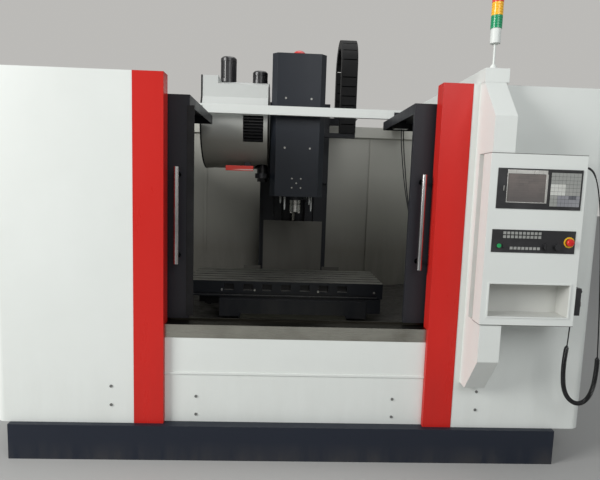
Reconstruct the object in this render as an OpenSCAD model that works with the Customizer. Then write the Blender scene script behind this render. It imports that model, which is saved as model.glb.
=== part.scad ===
// Vertical machining centre: a table that moves left and right on a saddle that moves
// front to back, a spindle head that moves up and down, a side magazine with a
// twin-arm tool changer, and a sheet-steel enclosure with two sliding doors.
// Millimetres. The origin lies on the floor below the spindle axis plane, midway
// between the foundation bolts. +X is to the operator's right, +Y to the back.

/* [Enclosure] */
// Width of the enclosure over its side walls
case_w = 3480; // [3400:10:3700]
// Depth from the front panels to the rear wall
case_d = 2300; // [2280:10:2400]
// Height of the enclosure's top edge above the floor
case_top = 2217; // [2210:1:2230]
// Height of the coolant tank, on which the panels stand
tank_h = 210; // [190:1:230]
// Thickness of the enclosure's sheet steel
sheet_t = 3; // [2:0.5:4]
// Radius of the two outer front corners
corner_r = 60; // [30:5:90]
// Width of the inward flanges along the sheet edges
flange_w = 60; // [40:5:80]
// Width of the front opening between the posts
opening_w = 1538; // [1520:2:1560]
// Width of a door post
post_w = 170; // [140:5:190]
// Depth of the door posts
post_d = 95; // [60:5:100]
// Height of the box rail along the rear wall's top
rear_rail_h = 105; // [60:5:120]
// Height of the cross beam behind the door roofs
beam_h = 67; // [40:1:67]
// Depth of the cross beam
beam_d = 40; // [30:1:50]
// Distance of the cross beam's front face in front of the spindle's cover
beam_ahead = 100; // [90:5:110]

/* [Front sill] */
// Height of the stainless sill above the floor
sill_top = 800; // [780:5:820]
// Height of the stainless strip's front face
sill_strip_h = 78; // [50:1:100]
// How far the sill panel stands back from the side panels
sill_recess = 30; // [20:1:40]
// Height of the fold across the sill panel
sill_fold_z = 502; // [400:1:600]
// Height of the rail that the doors run on
track_h = 10; // [6:1:14]
// Thickness of the rail that the doors run on
track_w = 6; // [4:1:10]

/* [Sliding doors] */
// Width of one door
door_w = 800; // [790:5:900]
// Thickness of a door
door_t = 30; // [24:1:34]
// Distance of the doors behind the front panels
door_setback = 126; // [120:1:135]
// Height of the doors' top edge
door_top = 2120; // [2100:1:2125]
// Distance of an open door's leading edge from the centre
door_open = 650; // [600:5:700]
// Width of a door's window
window_w = 460; // [300:10:500]
// Height of a door's window
window_h = 620; // [400:10:700]
// Height of the window's lower edge
window_z = 1150; // [1050:10:1200]
// Thickness of the window pane
pane_t = 8; // [5:1:12]
// Height of the rim turned down round a door's roof sheet
roof_rim = 60; // [30:5:80]
// Length of a door handle
handle_len = 560; // [400:10:600]
// Diameter of a door handle's tube
handle_dia = 28; // [20:1:34]
// Height of the handle's lower end
handle_z = 1150; // [1050:10:1200]
// Distance of the handle's axis in front of the door
handle_reach = 61; // [45:1:75]

/* [Coolant tank] */
// Width of the coolant tank
tank_w = 3210; // [3100:10:3300]
// Sideways offset of the tank from the centre
tank_shift = -45; // [-60:5:0]
// How far the tank stands out in front of the panels
tank_proud = 34; // [20:1:60]
// Distance of the tank's rear end behind the centre
tank_back = 650; // [500:10:800]
// Thickness of the tank's walls
tank_t = 5; // [3:1:8]
// Width of the rim along the tank's top
tank_rim = 75; // [75:1:78]

/* [Bed] */
// Width of the bed casting
bed_w = 760; // [740:10:770]
// Distance of the bed's front end from the centre
bed_front = 985; // [980:5:995]
// Distance of the bed's rear end from the centre
bed_back = 1240; // [1230:5:1260]
// Gap between the floor and the bed's underside
bed_gap = 45; // [35:1:60]
// Height of the bed's top, below the ways
bed_top = 520; // [510:5:530]
// Height of the top of the front-to-back ways
way_top = 600; // [590:1:605]
// Width of one way
way_w = 90; // [70:5:100]
// Width of the trough for the screw
trough_w = 260; // [240:10:280]
// Depth of the trough for the screw
trough_d = 160; // [140:5:165]
// Sideways pitch of the foundation bolts
foot_pitch_x = 860; // [850:10:880]
// Pitch of the corner foundation bolts from front to back
foot_pitch_y = 1800; // [1700:10:1820]
// Diameter of the foundation bolt holes
foundation_d = 22; // [16:1:24]
// Diameter of a levelling pad
pad_d = 120; // [90:5:130]

/* [Column] */
// Width of the column
column_w = 640; // [620:10:660]
// Distance of the column's front face behind the centre
column_front = 800; // [795:5:810]
// Height of the column's top
column_top = 2380; // [2370:5:2450]
// Height of the shelf that carries the cable carrier's fixed end
shelf_z = 2262; // [2180:2:2300]
// How far the upright ways stand out of the column
z_way_out = 40; // [30:1:45]
// Width of one upright way
z_way_w = 100; // [80:5:105]
// Distance of an upright way's outer face from the centre
z_way_edge = 290; // [280:5:295]
// Diameter of the lifting eye threads' core
lift_d = 26.2; // [20:0.2:30]
// Depth of the lifting eye threads
lift_depth = 60; // [40:5:80]

/* [Saddle and table] */
// Length of the table
table_len = 1500; // [1400:10:1550]
// Depth of the table from front to back
table_d = 560; // [540:10:600]
// Thickness of the table
table_t = 120; // [100:5:130]
// Height of the table's top
table_top = 880; // [875:1:900]
// Sideways place of the table at rest
table_x = -60; // [-100:5:0]
// Distance of the table's middle behind the centre at rest
table_y = 80; // [70:5:90]
// Width of a T-slot's mouth
slot_w = 18; // [14:1:22]
// Width of a T-slot's foot
slot_foot_w = 30; // [26:1:36]
// Depth of a T-slot
slot_d = 34; // [28:1:40]
// Pitch of the T-slots
slot_pitch = 100; // [80:5:110]
// Number of T-slots
slot_count = 5; // [3:2:5]
// Length of the saddle
saddle_len = 1140; // [1100:10:1200]
// How far the saddle's front face lies behind the table's
saddle_step = 5; // [2:1:10]

/* [Ball screws] */
// Diameter of the two long screws
screw_d = 40; // [32:1:50]
// Diameter of the table's screw
x_screw_d = 32; // [25:1:36]
// Side of a servo motor's square body
motor_side = 130; // [100:5:140]

/* [Spindle head] */
// Distance of the spindle axis behind the centre
spindle_y = 170; // [165:1:180]
// Height of the spindle nose at rest
nose_z = 1400; // [1380:5:1420]
// Width of the head's sheet cover
cover_w = 420; // [410:2:424]
// Width of the chamfered vertical edges of the cover
cover_chamfer = 40; // [30:1:60]
// Depth of the cover
cover_d = 420; // [400:5:430]
// Height of the cover's lower edge
cover_z = 1530; // [1520:1:1540]
// Height of the cover's top
cover_top = 2630; // [2600:5:2650]
// Diameter of the spindle nose
nose_d = 88; // [80:1:100]
// Diameter of the spindle shaft
shaft_d = 80; // [70:1:90]
// Diameter of the spindle taper at its mouth
taper_d = 44.45; // [40:0.05:50]
// Length of the spindle taper
taper_len = 65; // [50:1:75]

/* [Tool magazine] */
// Sideways place of the magazine's outer face
mag_x = -760; // [-780:5:-750]
// Height of the magazine's axis
mag_z = 2100; // [2095:1:2110]
// Distance of the magazine's axis behind the centre
mag_y = 350; // [345:1:360]
// Radius of the magazine cover's drum
mag_r = 355; // [350:1:360]
// Radius of the circle through the tool pots
pot_circle_r = 300; // [298:1:304]
// Number of tool pots
pot_count = 24; // [20:2:24]
// Diameter of a tool pot
pot_d = 68; // [60:1:70]
// Length of a tool pot
pot_len = 94; // [80:1:100]
// Radius from the tool arm's hub to its grippers
arm_r = 294; // [270:1:296]
// Thickness of the tool arm
arm_t = 36; // [30:1:40]
// Height of the tool arm's underside
arm_z = 1667; // [1650:1:1670]

/* [Cable carrier] */
// Width of the cable carrier
chain_w = 138; // [100:1:145]
// Height of a carrier link
chain_h = 70; // [50:1:75]
// Radius of the carrier's bend
chain_r = 228; // [200:1:230]
// Height of the bend's centre
chain_z = 2655; // [2600:5:2700]
// Number of links round the bend
chain_bend_links = 9; // [7:1:11]

/* [Control pendant] */
// Gap between the right-hand post and the pendant's left face
pendant_gap = 31; // [28:1:36]
// Width of the pendant
pendant_w = 515; // [505:5:560]
// Depth of the pendant
pendant_d = 165; // [160:1:168]
// Height of the pendant's underside
pendant_z = 910; // [900:1:920]
// Height of the pendant
pendant_h = 919; // [900:1:925]
// How far the pendant's face stands in front of the panels
pendant_proud = 235; // [230:1:240]
// Width of the pillar that carries the pendant
pillar_w = 118; // [100:1:125]
// Depth of the pillar's strip behind the pendant
pillar_back = 60; // [40:1:62]
// Width of the screen and key unit
unit_w = 452; // [430:2:456]
// Height of the screen and key unit
unit_h = 210; // [190:2:220]
// Width of the operator panel
panel_w = 450; // [430:2:456]
// Height of the operator panel
panel_h = 121; // [115:1:130]
// Depth of the recesses for both
unit_d = 60; // [50:1:70]
// Diameter of the pendant's pivot pins
pivot_d = 40; // [30:1:50]
// Diameter of the emergency stop's mushroom head
estop_d = 40; // [30:1:44]
// Diameter of the feed override dial
dial_d = 34; // [26:1:36]
// Diameter of the hand wheel
wheel_d = 64; // [50:1:70]

/* [Electrical cabinet] */
// Width of the electrical cabinet
cabinet_w = 1200; // [1000:10:1300]
// Depth of the cabinet
cabinet_d = 300; // [250:10:350]
// Height of the cabinet's underside
cabinet_z = 420; // [380:10:460]
// Height of the cabinet
cabinet_h = 1600; // [1500:10:1700]

/* [Signal tower] */
// Diameter of the tower's coloured lenses
lens_d = 62; // [50:1:70]
// Height of one lens
lens_h = 68; // [50:1:75]
// Height of the pole
pole_h = 150; // [120:5:200]

/* [Clearances] */
// Gap between parts that slide or turn on each other
run_gap = 0.3; // [0.3:0.05:0.5]
// Gap between fixed pieces that are set into each other
set_gap = 0.2; // [0.1:0.05:0.4]

/* [Hidden] */
$fn = 48;

front_y = -case_d / 2;
rear_y = case_d / 2;
side_x = case_w / 2;
post_in = opening_w / 2;
post_out = post_in + post_w;
sill_y = front_y + sill_recess;
door_y = front_y + door_setback;
door_back = door_y + door_t;
door_foot = sill_top + track_h + 2;
beam_y = -beam_ahead;
bed_half = bed_w / 2;
way_in = bed_half - way_w;
saddle_top = table_top - table_t;
table_front = table_y - table_d / 2;
table_back = table_y + table_d / 2;
saddle_front = table_front + saddle_step;
saddle_back = table_back - saddle_step;
y_screw_z = bed_top - trough_d / 2;
x_screw_z = saddle_top - 55;
z_screw_y = column_front + 30;
pendant_x = post_out + pendant_gap;
pendant_y = front_y - pendant_proud;
pendant_r = pendant_d / 2;
pivot_x = pendant_x + pendant_r;
pivot_y = pendant_y + pendant_r;
pendant_right = pendant_x + pendant_w;
hub_x = -280;
hub_y = 260;
disc_x = -555;
mag_step_x = -630;
mag_lid = 292;
mag_step = 60;
cabinet_y = bed_back + 40;
cabinet_back = cabinet_y + cabinet_d;
duct_x = pendant_x + 5;
duct_w = 135;
duct_top = case_top + 75;
tower_x = duct_x + duct_w / 2 + 8;
tower_y = front_y + 25;
pole_z = duct_top + 20;

white = [0.88, 0.9, 0.88];
red = [0.8, 0.2, 0.17];
slate = [0.17, 0.19, 0.24];
charcoal = [0.14, 0.14, 0.15];
grey = [0.42, 0.42, 0.4];
steel = [0.68, 0.68, 0.66];

// A box from its range along each axis
module block(x, y, z) translate([x[0], y[0], z[0]])
    cube([x[1] - x[0], y[1] - y[0], z[1] - z[0]]);

// A round bar along X, Y or Z from a point
module bar_x(d, len, at) translate(at) rotate([0, 90, 0]) cylinder(d = d, h = len);
module bar_y(d, len, at) translate(at) rotate([-90, 0, 0]) cylinder(d = d, h = len);
module bar_z(d, len, at) translate(at) cylinder(d = d, h = len);

// The same shape on the left and on the right
module both_sides() {
    children();
    mirror([1, 0, 0]) children();
}

// Plan of the tank, drawn in from its outer edge
module tank_plan(inset) {
    left = tank_shift - tank_w / 2 + inset;
    front = front_y - tank_proud + inset;
    notch = foot_pitch_x / 2 + pad_d / 2 + 30 + inset;
    difference() {
        translate([left, front]) square([tank_w - 2 * inset, tank_back - inset - front]);
        translate([-notch, -bed_front - 20 - inset])
            square([2 * notch, tank_back + bed_front + 60]);
    }
}

// Low tray of welded plate round the front and sides of the bed
module coolant_tank() color(slate) difference() {
    linear_extrude(tank_h) tank_plan(0);
    translate([0, 0, tank_t]) linear_extrude(tank_h - 2 * tank_t) tank_plan(tank_t);
    translate([0, 0, tank_t]) linear_extrude(tank_h) tank_plan(tank_rim);
}

module foot_places() for (x = [-1, 1], y = [-1, 0, 1])
    translate([x * foot_pitch_x / 2, y * foot_pitch_y / 2, 0]) children();

// Pad and hollow levelling screw, through which a foundation bolt passes
module levelling_feet() color(steel) foot_places() difference() {
    union() {
        cylinder(d = pad_d, h = 25);
        cylinder(d = 50, h = bed_gap);
        cylinder(d = 30, h = bed_gap + 90);
        translate([0, 0, bed_gap + 65]) cylinder(d = 46, h = 18, $fn = 6);
    }
    translate([0, 0, -1]) cylinder(d = foundation_d, h = bed_gap + 100);
}

// Cored casting with two hardened ways and a trough for the screw
module bed() color(slate) difference() {
    union() {
        block([-bed_half, bed_half], [-bed_front, bed_back], [bed_gap, bed_top]);
        both_sides() block([way_in, bed_half], [-bed_front, column_front - 20],
            [bed_top, way_top]);
        foot_places() translate([0, 0, bed_gap]) intersection() {
            cylinder(d = pad_d, h = 65);
            translate([-pad_d / 2, -pad_d / 2, 0]) cube([pad_d, pad_d, 65]);
        }
        for (x = [-1, 1], y = [-1, 0, 1]) translate([x * foot_pitch_x / 2, y * foot_pitch_y / 2, 0])
            mirror([x > 0 ? 1 : 0, 0, 0])
            block([0, foot_pitch_x / 2 - bed_half + 5], [-pad_d / 2, pad_d / 2],
                [bed_gap, bed_gap + 65]);
    }
    difference() {
        block([-trough_w / 2, trough_w / 2], [-bed_front - 1, column_front - 40],
            [bed_top - trough_d, bed_top + 1]);
        for (y = [-bed_front + 215, column_front - 160])
            block([-70, 70], [y, y + 40], [bed_top - trough_d - 1, bed_top - 20]);
    }
    bar_y(screw_d + 2 * run_gap, column_front + bed_front, [0, -bed_front + 100, y_screw_z]);
    // two cored channels between the outer walls and the middle rib
    both_sides() block([45, bed_half - 55], [-bed_front + 60, bed_back - 60],
        [bed_gap - 1, bed_top - trough_d - 40]);
    foot_places() cylinder(d = 30 + 2 * set_gap, h = bed_gap + 80);
}

// Box column with upright ways, a recess for the screw and a shelf for the motor
module column() color(charcoal) {
    half = column_w / 2;
    difference() {
        union() {
            block([-half, half], [column_front, bed_back], [bed_top, column_top]);
            block([-bed_half, bed_half], [column_front - 15, bed_back], [bed_top, bed_top + 110]);
            both_sides() block([z_way_edge - z_way_w, z_way_edge],
                [column_front - z_way_out, column_front], [bed_top + 180, column_top - 40]);
            // shelf that the cable carrier's fixed end is bolted to
            translate([half - 1, column_front + 60, 0]) rotate([90, 0, 0]) mirror([0, 0, 1])
                linear_extrude(80) polygon([[0, shelf_z - 64], [213, shelf_z - 64],
                    [273, shelf_z], [0, shelf_z]]);
        }
        difference() {
            block([-110, 110], [column_front - 1, column_front + 105],
                [bed_top + 170, column_top - 30]);
            block([-70, 70], [column_front, column_front + 105], [bed_top + 200, bed_top + 240]);
        }
        bar_z(screw_d + 2 * run_gap, column_top, [0, z_screw_y, bed_top + 190]);
        both_sides() for (z = [700, 1160, 1620])
            block([half - 25, half + 1], [column_front + 130, bed_back - 90], [z, z + 360]);
        for (x = [-1, 1]) translate([x * 220, bed_back - 140, column_top - lift_depth])
            cylinder(d = lift_d, h = lift_depth + 1);
    }
}

// Front sheet with rounded outer corner, side wall and edge flanges, right-hand form
module case_side() {
    z = [tank_h, case_top];
    inner = post_out + 1;
    block([inner, side_x - corner_r], [front_y, front_y + sheet_t], z);
    block([inner, inner + sheet_t], [front_y, front_y + flange_w], z);
    translate([side_x - corner_r, front_y + corner_r, tank_h]) linear_extrude(case_top - tank_h)
        difference() {
            intersection() {
                circle(r = corner_r);
                translate([0, -corner_r]) square(corner_r);
            }
            circle(r = corner_r - sheet_t);
        }
    block([side_x - sheet_t, side_x], [front_y + corner_r, rear_y], z);
    for (level = [tank_h, case_top - sheet_t]) {
        block([inner, side_x - corner_r], [front_y, front_y + flange_w],
            [level, level + sheet_t]);
        block([side_x - flange_w, side_x], [front_y + corner_r, rear_y],
            [level, level + sheet_t]);
        translate([side_x - corner_r, front_y + corner_r, level]) intersection() {
            cylinder(r = corner_r, h = sheet_t);
            translate([-20, -corner_r, 0]) cube([corner_r + 20, corner_r + 10, sheet_t]);
        }
        block([side_x - corner_r - 20, side_x - 20], [front_y + corner_r - 20, front_y + corner_r + 10],
            [level, level + sheet_t]);
    }
    block([side_x - flange_w, side_x], [rear_y - sheet_t, rear_y], z);
}

module left_panel() color(white) mirror([1, 0, 0]) case_side();
module right_panel() color(white) case_side();

// One half of the rear wall: sheet with a box rail on top and upright seams
module rear_half(seam_x) {
    inner = bed_half + 2;
    outer = side_x - flange_w;
    block([inner, outer], [rear_y - sheet_t, rear_y], [tank_h, case_top]);
    block([column_w / 2 + 2, inner + 1], [rear_y - sheet_t, rear_y],
        [bed_top + 115, case_top]);
    block([column_w / 2 + 2, outer], [rear_y - 40, rear_y - sheet_t],
        [case_top - rear_rail_h, case_top]);
    block([seam_x, seam_x + sheet_t], [rear_y - 14, rear_y], [bed_top + 115, case_top - 1]);
    block([outer - sheet_t, outer], [rear_y - flange_w, rear_y], [tank_h, case_top]);
}

module rear_wall() color(grey) {
    rear_half(770);
    mirror([1, 0, 0]) rear_half(1085);
    // centre cover over the lower ends of the upright ways, with a wing on each side
    way_face = column_front - z_way_out;
    block([-z_way_edge + 12, z_way_edge - 12], [way_face - sheet_t, way_face],
        [bed_top + 190, 1280]);
    both_sides() block([z_way_edge + 2, bed_half + 80], [column_front - sheet_t, column_front],
        [bed_top + 190, bed_top + 318]);
}

// Folded posts on both sides of the opening
module door_posts() color(red) both_sides() difference() {
    block([post_in, post_out], [front_y - 2, front_y + post_d], [tank_h, case_top]);
    block([post_in + sheet_t, post_out - sheet_t], [front_y + 1, front_y + post_d + 1],
        [tank_h - 1, case_top + 1]);
}

// White sheet under the sill, with a fold across it and flanges at its edges
module sill_panel() color(white) {
    x = [-post_in + 0.5, post_in - 0.5];
    top = sill_top - sill_strip_h;
    block(x, [sill_y, sill_y + sheet_t], [tank_h, sill_fold_z]);
    block(x, [sill_y - 6, sill_y + sheet_t], [sill_fold_z, sill_fold_z + 12]);
    block(x, [sill_y, sill_y + sheet_t], [sill_fold_z + 12, top]);
    for (z = [tank_h, top - sheet_t]) block(x, [sill_y, sill_y + 30], [z, z + sheet_t]);
}

// Stainless sill: front strip, ledge and the rail that the doors run on
module sill_trim() color(steel) {
    reach = door_open + door_w + 30;
    track_y = door_y + (door_t - track_w) / 2;
    ledge_back = door_back + 34;
    top = sill_top - sheet_t;
    block([-post_in + 0.5, post_in - 0.5], [sill_y - 1, sill_y + sheet_t],
        [sill_top - sill_strip_h, sill_top]);
    block([-post_in + 0.5, post_in - 0.5], [sill_y, front_y + post_d + 2], [top, sill_top]);
    block([-reach, reach], [front_y + post_d + 1, ledge_back], [top, sill_top]);
    block([-reach, reach], [ledge_back - sheet_t, ledge_back], [sill_top - 60, sill_top]);
    block([-reach, reach], [track_y, track_y + track_w], [top, sill_top + track_h]);
    both_sides() block([side_x - sheet_t - 1 - (side_x - reach), side_x - sheet_t],
        [ledge_back - 40, ledge_back], [sill_top - 60, sill_top]);
}

// Box-section beam across the enclosure, along which the door roofs are guided
module cross_beam() color(white) block([-side_x + sheet_t, side_x - sheet_t],
    [beam_y, beam_y + beam_d], [case_top - beam_h - 3, case_top - 3]);

// Cable duct over the right-hand side, from the pillar to the rear rail
module cable_duct() color(white)
    block([duct_x, duct_x + duct_w], [front_y - 62, rear_y], [case_top, duct_top]);

// Sloping floor sheets that lead chips and coolant to the tank
module chip_trays() color(grey) both_sides() {
    inner = bed_half + 50;
    outer = side_x - sheet_t;
    low = bed_top + 35;
    high = low + 125;
    translate([0, rear_y - 61, 0]) rotate([90, 0, 0]) linear_extrude(case_d - 146 - door_setback)
        polygon([[inner, low - 40], [inner + 3, low - 40], [inner + 3, low],
            [outer, high], [outer, high + 30], [outer - 3, high + 30],
            [outer - 3, high + 3], [inner, low + 3]]);
}

// Folded pillar: it is cut back where the pendant hangs in it
module pillar() color(white) difference() {
    top = pendant_z + pendant_h + run_gap;
    low = pendant_z - run_gap;
    back = front_y - pillar_back;
    face = front_y - pendant_proud + 5;
    translate([pendant_x + 7, 0, 0]) rotate([90, 0, 90]) linear_extrude(pillar_w)
        polygon([[front_y, duct_top - 6], [front_y - 62, duct_top - 6], [front_y - 62, case_top - 5],
            [face, top + 188], [face, top], [back, top], [back, low], [face, low],
            [face, low - 209], [front_y - 76, low - 418], [front_y, low - 418]]);
    for (z = [low - 40, top - 1])
        bar_z(pivot_d + 2 * run_gap, 41, [pivot_x, pivot_y, z]);
    block([duct_x - 20, duct_x + duct_w + 20], [front_y - 62.5, front_y + 1],
        [case_top - set_gap, duct_top + 20]);
}

// Cast foot, pole and white base of the signal tower
module tower_stand() color(white) translate([tower_x, tower_y, 0]) {
    rotate_extrude() polygon([[0, duct_top], [34, duct_top], [34, duct_top + 5],
        [24, duct_top + 14], [15, duct_top + 30], [8, duct_top + 40], [0, duct_top + 40]]);
    translate([0, 0, duct_top + 10]) cylinder(d = 12, h = pole_h - 5);
    translate([0, 0, duct_top + pole_h]) cylinder(d = lens_d - 6, h = 79);
}

// Three ribbed lenses and the cap, stacked on the base
module tower_lenses() translate([tower_x, tower_y, duct_top + pole_h + 79]) {
    tints = ["green", "orange", "red"];
    for (i = [0 : 2]) color(tints[i]) translate([0, 0, i * (lens_h + 1)]) difference() {
        cylinder(d = lens_d, h = lens_h);
        for (k = [1 : 4]) translate([0, 0, k * lens_h / 5]) difference() {
            cylinder(d = lens_d + 2, h = 2);
            translate([0, 0, -1]) cylinder(d = lens_d - 3, h = 4);
        }
        if (i == 1) translate([0, 0, -1]) cylinder(d = lens_d / 2, h = lens_h + 2);
    }
    for (i = [0 : 1]) color(charcoal) translate([0, 0, i * (lens_h + 1) + lens_h])
        cylinder(d = lens_d - 4, h = 1);
    color(charcoal) translate([0, 0, 3 * lens_h + 2]) cylinder(d1 = lens_d - 2, d2 = lens_d - 14, h = 9);
}

// Steel cabinet behind the column, open at the back for its door
module cabinet() color(white) {
    half = cabinet_w / 2;
    difference() {
        block([-half, half], [cabinet_y, cabinet_back], [cabinet_z, cabinet_z + cabinet_h]);
        block([-half + sheet_t, half - sheet_t], [cabinet_y + sheet_t, cabinet_back + 1],
            [cabinet_z + sheet_t, cabinet_z + cabinet_h - sheet_t]);
    }
    for (z = [cabinet_z + 230, cabinet_z + cabinet_h - 300]) both_sides()
        block([220, 280], [bed_back, cabinet_y + 1], [z, z + 80]);
    // mounting plate for the drives
    block([-half + 60, half - 60], [cabinet_y + sheet_t - 1, cabinet_y + 22],
        [cabinet_z + 80, cabinet_z + cabinet_h - 80]);
    for (z = hinge_levels()) hinge_half(z, 1);
}

function hinge_levels() = [cabinet_z + 180, cabinet_z + cabinet_h - 260];
cabinet_hinge = [-cabinet_w / 2 - 9, cabinet_back + 9];

// A lift-off hinge: the case carries the lower knuckle and its pin, the door the upper
module hinge_half(z, lower) translate([cabinet_hinge[0], cabinet_hinge[1], z]) if (lower == 1) {
    cylinder(d = 16, h = 40);
    cylinder(d = 8, h = 78);
    block([-4, 9.5], [-24, -3], [0, 40]);
} else difference() {
    union() {
        translate([0, 0, 40 + run_gap]) cylinder(d = 16, h = 40);
        block([0, 14], [-7, 7], [40 + run_gap, 80]);
    }
    translate([0, 0, 39]) cylinder(d = 8 + 2 * run_gap, h = 50);
}

// Flat door with a folded edge and a gasket gap
module cabinet_door() color(white) {
    x = [-cabinet_w / 2 + 2, cabinet_w / 2 - 2];
    z = [cabinet_z + 2, cabinet_z + cabinet_h - 2];
    y = cabinet_back + run_gap + 0.2;
    difference() {
        block(x, [y, y + 20], z);
        block([x[0] + 20, x[1] - 20], [y - 1, y + 17], [z[0] + 20, z[1] - 20]);
        bar_y(18 + 2 * run_gap, 40, [x[1] - 60, y - 2, 1250]);
    }
    difference() {
        bar_y(44, 18, [x[1] - 60, y + 1, 1250]);
        bar_y(18 + 2 * run_gap, 40, [x[1] - 60, y - 2, 1250]);
    }
    for (level = hinge_levels()) hinge_half(level, 0);
}

// Swing handle of the cabinet door
module cabinet_handle() color(charcoal) {
    x = cabinet_w / 2 - 62;
    y = cabinet_back + run_gap + 0.2;
    bar_y(18, 24, [x, y - 2, 1250]);
    bar_y(40, 8, [x, y + 20 + run_gap, 1250]);
    translate([x, y + 20 + run_gap, 1250]) block([-11, 11], [0, 16], [-120, 0]);
    bar_y(50, 3, [x, y - 5, 1250]);
}

// Square servo motor lying along +Z with its shaft end at the origin
module motor(side, len) {
    translate([-side / 2, -side / 2, -12]) cube([side, side, 12]);
    translate([-side / 2 + 6, -side / 2 + 6, -len + 45]) cube([side - 12, side - 12, len - 45]);
    translate([-side / 2 + 14, -side / 2 + 14, -len]) cube([side - 28, side - 28, len - 40]);
    translate([side / 2 - 8, -18, -len + 60]) cube([18, 36, 36]);
}

module servo_motors() color(charcoal) {
    translate([0, -bed_front + 215, y_screw_z]) rotate([-90, 0, 0]) motor(motor_side, 190);
    translate([0, z_screw_y, column_top]) rotate([180, 0, 90]) motor(motor_side, 240);
}

module y_screw() color(steel)
    bar_y(screw_d, column_front + bed_front - 343, [0, -bed_front + 217, y_screw_z]);
module z_screw() color(steel)
    bar_z(screw_d, column_top - bed_top - 205, [0, z_screw_y, bed_top + 202]);
module x_screw() color(steel)
    bar_x(x_screw_d, saddle_len - 4, [-saddle_len / 2 + 2, table_y, x_screw_z]);

// One plate of the telescopic cover over the front ways
module way_plate(step, from, to) {
    half = bed_half + 10 + 6 * step;
    top = way_top + 12 + 6 * step;
    block([-half, half], [from, to], [top - sheet_t, top]);
    both_sides() block([half - sheet_t, half], [from, to], [way_top - 25, top]);
}

// Wiper strip under a plate's front end, which slides on the plate below
module way_wiper(step, from) {
    half = bed_half + 6 + 6 * step;
    block([-half, half], [from, from + sheet_t],
        [way_top + 6 + 6 * step + run_gap, way_top + 11 + 6 * step]);
}

module way_cover_front() color(steel) {
    way_plate(0, -bed_front, -410);
    both_sides() block([bed_half - 20, bed_half - 0], [-bed_front, -bed_front + 30],
        [way_top, way_top + 10]);
    block([-bed_half - 10, bed_half + 10], [-bed_front - 3, -bed_front], [way_top - 25, way_top + 12]);
}

module way_cover_mid() color(steel) {
    way_plate(1, saddle_front - 430, saddle_front - 110);
    way_wiper(1, saddle_front - 430);
}

module way_cover_rear() color(steel) {
    way_plate(2, saddle_front - 325, saddle_front);
    way_wiper(2, saddle_front - 325);
}

// Cross slide between the bed's ways and the table's ways
module saddle() color(slate) difference() {
    half = saddle_len / 2;
    union() {
        block([-half, half], [saddle_front, saddle_back], [way_top + run_gap, saddle_top - 25]);
        for (y = [saddle_front + 15, saddle_back - 105])
            block([-half, half], [y, y + 90], [way_top + 60, saddle_top - run_gap]);
        both_sides() block([bed_half + run_gap, bed_half + 40], [saddle_front, saddle_back],
            [bed_top + 15, way_top + 10]);
        block([-55, 55], [table_y - 60, table_y + 40], [y_screw_z - 38, way_top + 10]);
        // box for the limit switches at the right-hand end
        block([half - 5, half + 110], [saddle_front + 5, saddle_front + 110],
            [saddle_top - 118, saddle_top - 8]);
    }
    // channel for the table's screw, with a bearing wall at each end
    block([-half + 25, half - 25], [table_y - 75, table_y + 75], [saddle_top - 100, saddle_top]);
    bar_x(x_screw_d + 2 * run_gap, saddle_len, [-half + 1, table_y, x_screw_z]);
    bar_y(screw_d + 2 * run_gap, 400, [0, -150, y_screw_z]);
}

module x_motor() color(charcoal) translate([-saddle_len / 2, table_y, x_screw_z - 10])
    rotate([0, 90, 0]) motor(motor_side - 20, 190);

// T-slotted table with cored pockets along its front face
module table() color(steel) {
    x = [table_x - table_len / 2, table_x + table_len / 2];
    difference() {
        block(x, [table_front, table_back], [saddle_top, table_top]);
        for (i = [0 : slot_count - 1]) {
            y = table_y + (i - (slot_count - 1) / 2) * slot_pitch;
            block([x[0] - 1, x[1] + 1], [y - slot_w / 2, y + slot_w / 2],
                [table_top - slot_d + 2, table_top + 1]);
            block([x[0] - 1, x[1] + 1], [y - slot_foot_w / 2, y + slot_foot_w / 2],
                [table_top - slot_d, table_top - slot_d + 14]);
        }
        for (i = [-3 : 3]) translate([table_x + i * 144.7, table_front, table_top - 71])
            block([-37, 37], [-1, 28], [0, 48]);
        // groove along the front for the limit dogs
        block([x[0] + 40, x[1] - 40], [table_front - 1, table_front + 12],
            [saddle_top + 10, saddle_top + 26]);
    }
    difference() {
        block([table_x - 40, table_x + 40], [table_y - 45, table_y + 45],
            [saddle_top - 92, saddle_top + 1]);
        bar_x(x_screw_d + 2 * run_gap, 100, [table_x - 50, table_y, x_screw_z]);
    }
}

// Casting that slides on the column and carries the spindle at its front
module head() color(charcoal) {
    z0 = cover_z + 30;
    guide = [z0 + 80, z0 + 580];
    difference() {
        union() {
            block([-165, 165], [30, 720], [z0, z0 + 520]);
            block([-120, 120], [30, 60], [z0, z0 + 760]);
            both_sides() for (z = [z0 + 350, z0 + 730]) bar_y(30, 28, [99, sheet_t, z]);
            block([-300, 300], [712, column_front - z_way_out - run_gap], guide);
            both_sides() block([z_way_edge + run_gap, z_way_edge + 22],
                [712, column_front - 1], guide);
            block([-50, 50], [700, z_screw_y + 45], [z0 + 290, z0 + 390]);
            // arm that holds the cable carrier's moving end
            block([160, 372 + chain_w], [425, 470], [z0 + 480, z0 + 520]);
            bar_z(200, 61, [0, spindle_y, cover_z - 30]);
        }
        bar_z(shaft_d + 2 * run_gap, 900, [0, spindle_y, cover_z - 40]);
        bar_z(120 + 2 * run_gap, 46, [0, spindle_y, cover_z - 31]);
        bar_z(screw_d + 2 * run_gap, 400, [0, z_screw_y, z0 + 200]);
    }
}

// Plan of the cover's outer form, shrunk by an inset
module cover_plan(inset) {
    half = cover_w / 2 - inset;
    chamfer = cover_chamfer - inset * 0.586;
    polygon([[-half, cover_d + (inset > 0 ? 1 : 0)], [-half, inset + chamfer],
        [-half + chamfer, inset], [half - chamfer, inset], [half, inset + chamfer],
        [half, cover_d + (inset > 0 ? 1 : 0)]]);
}

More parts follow.
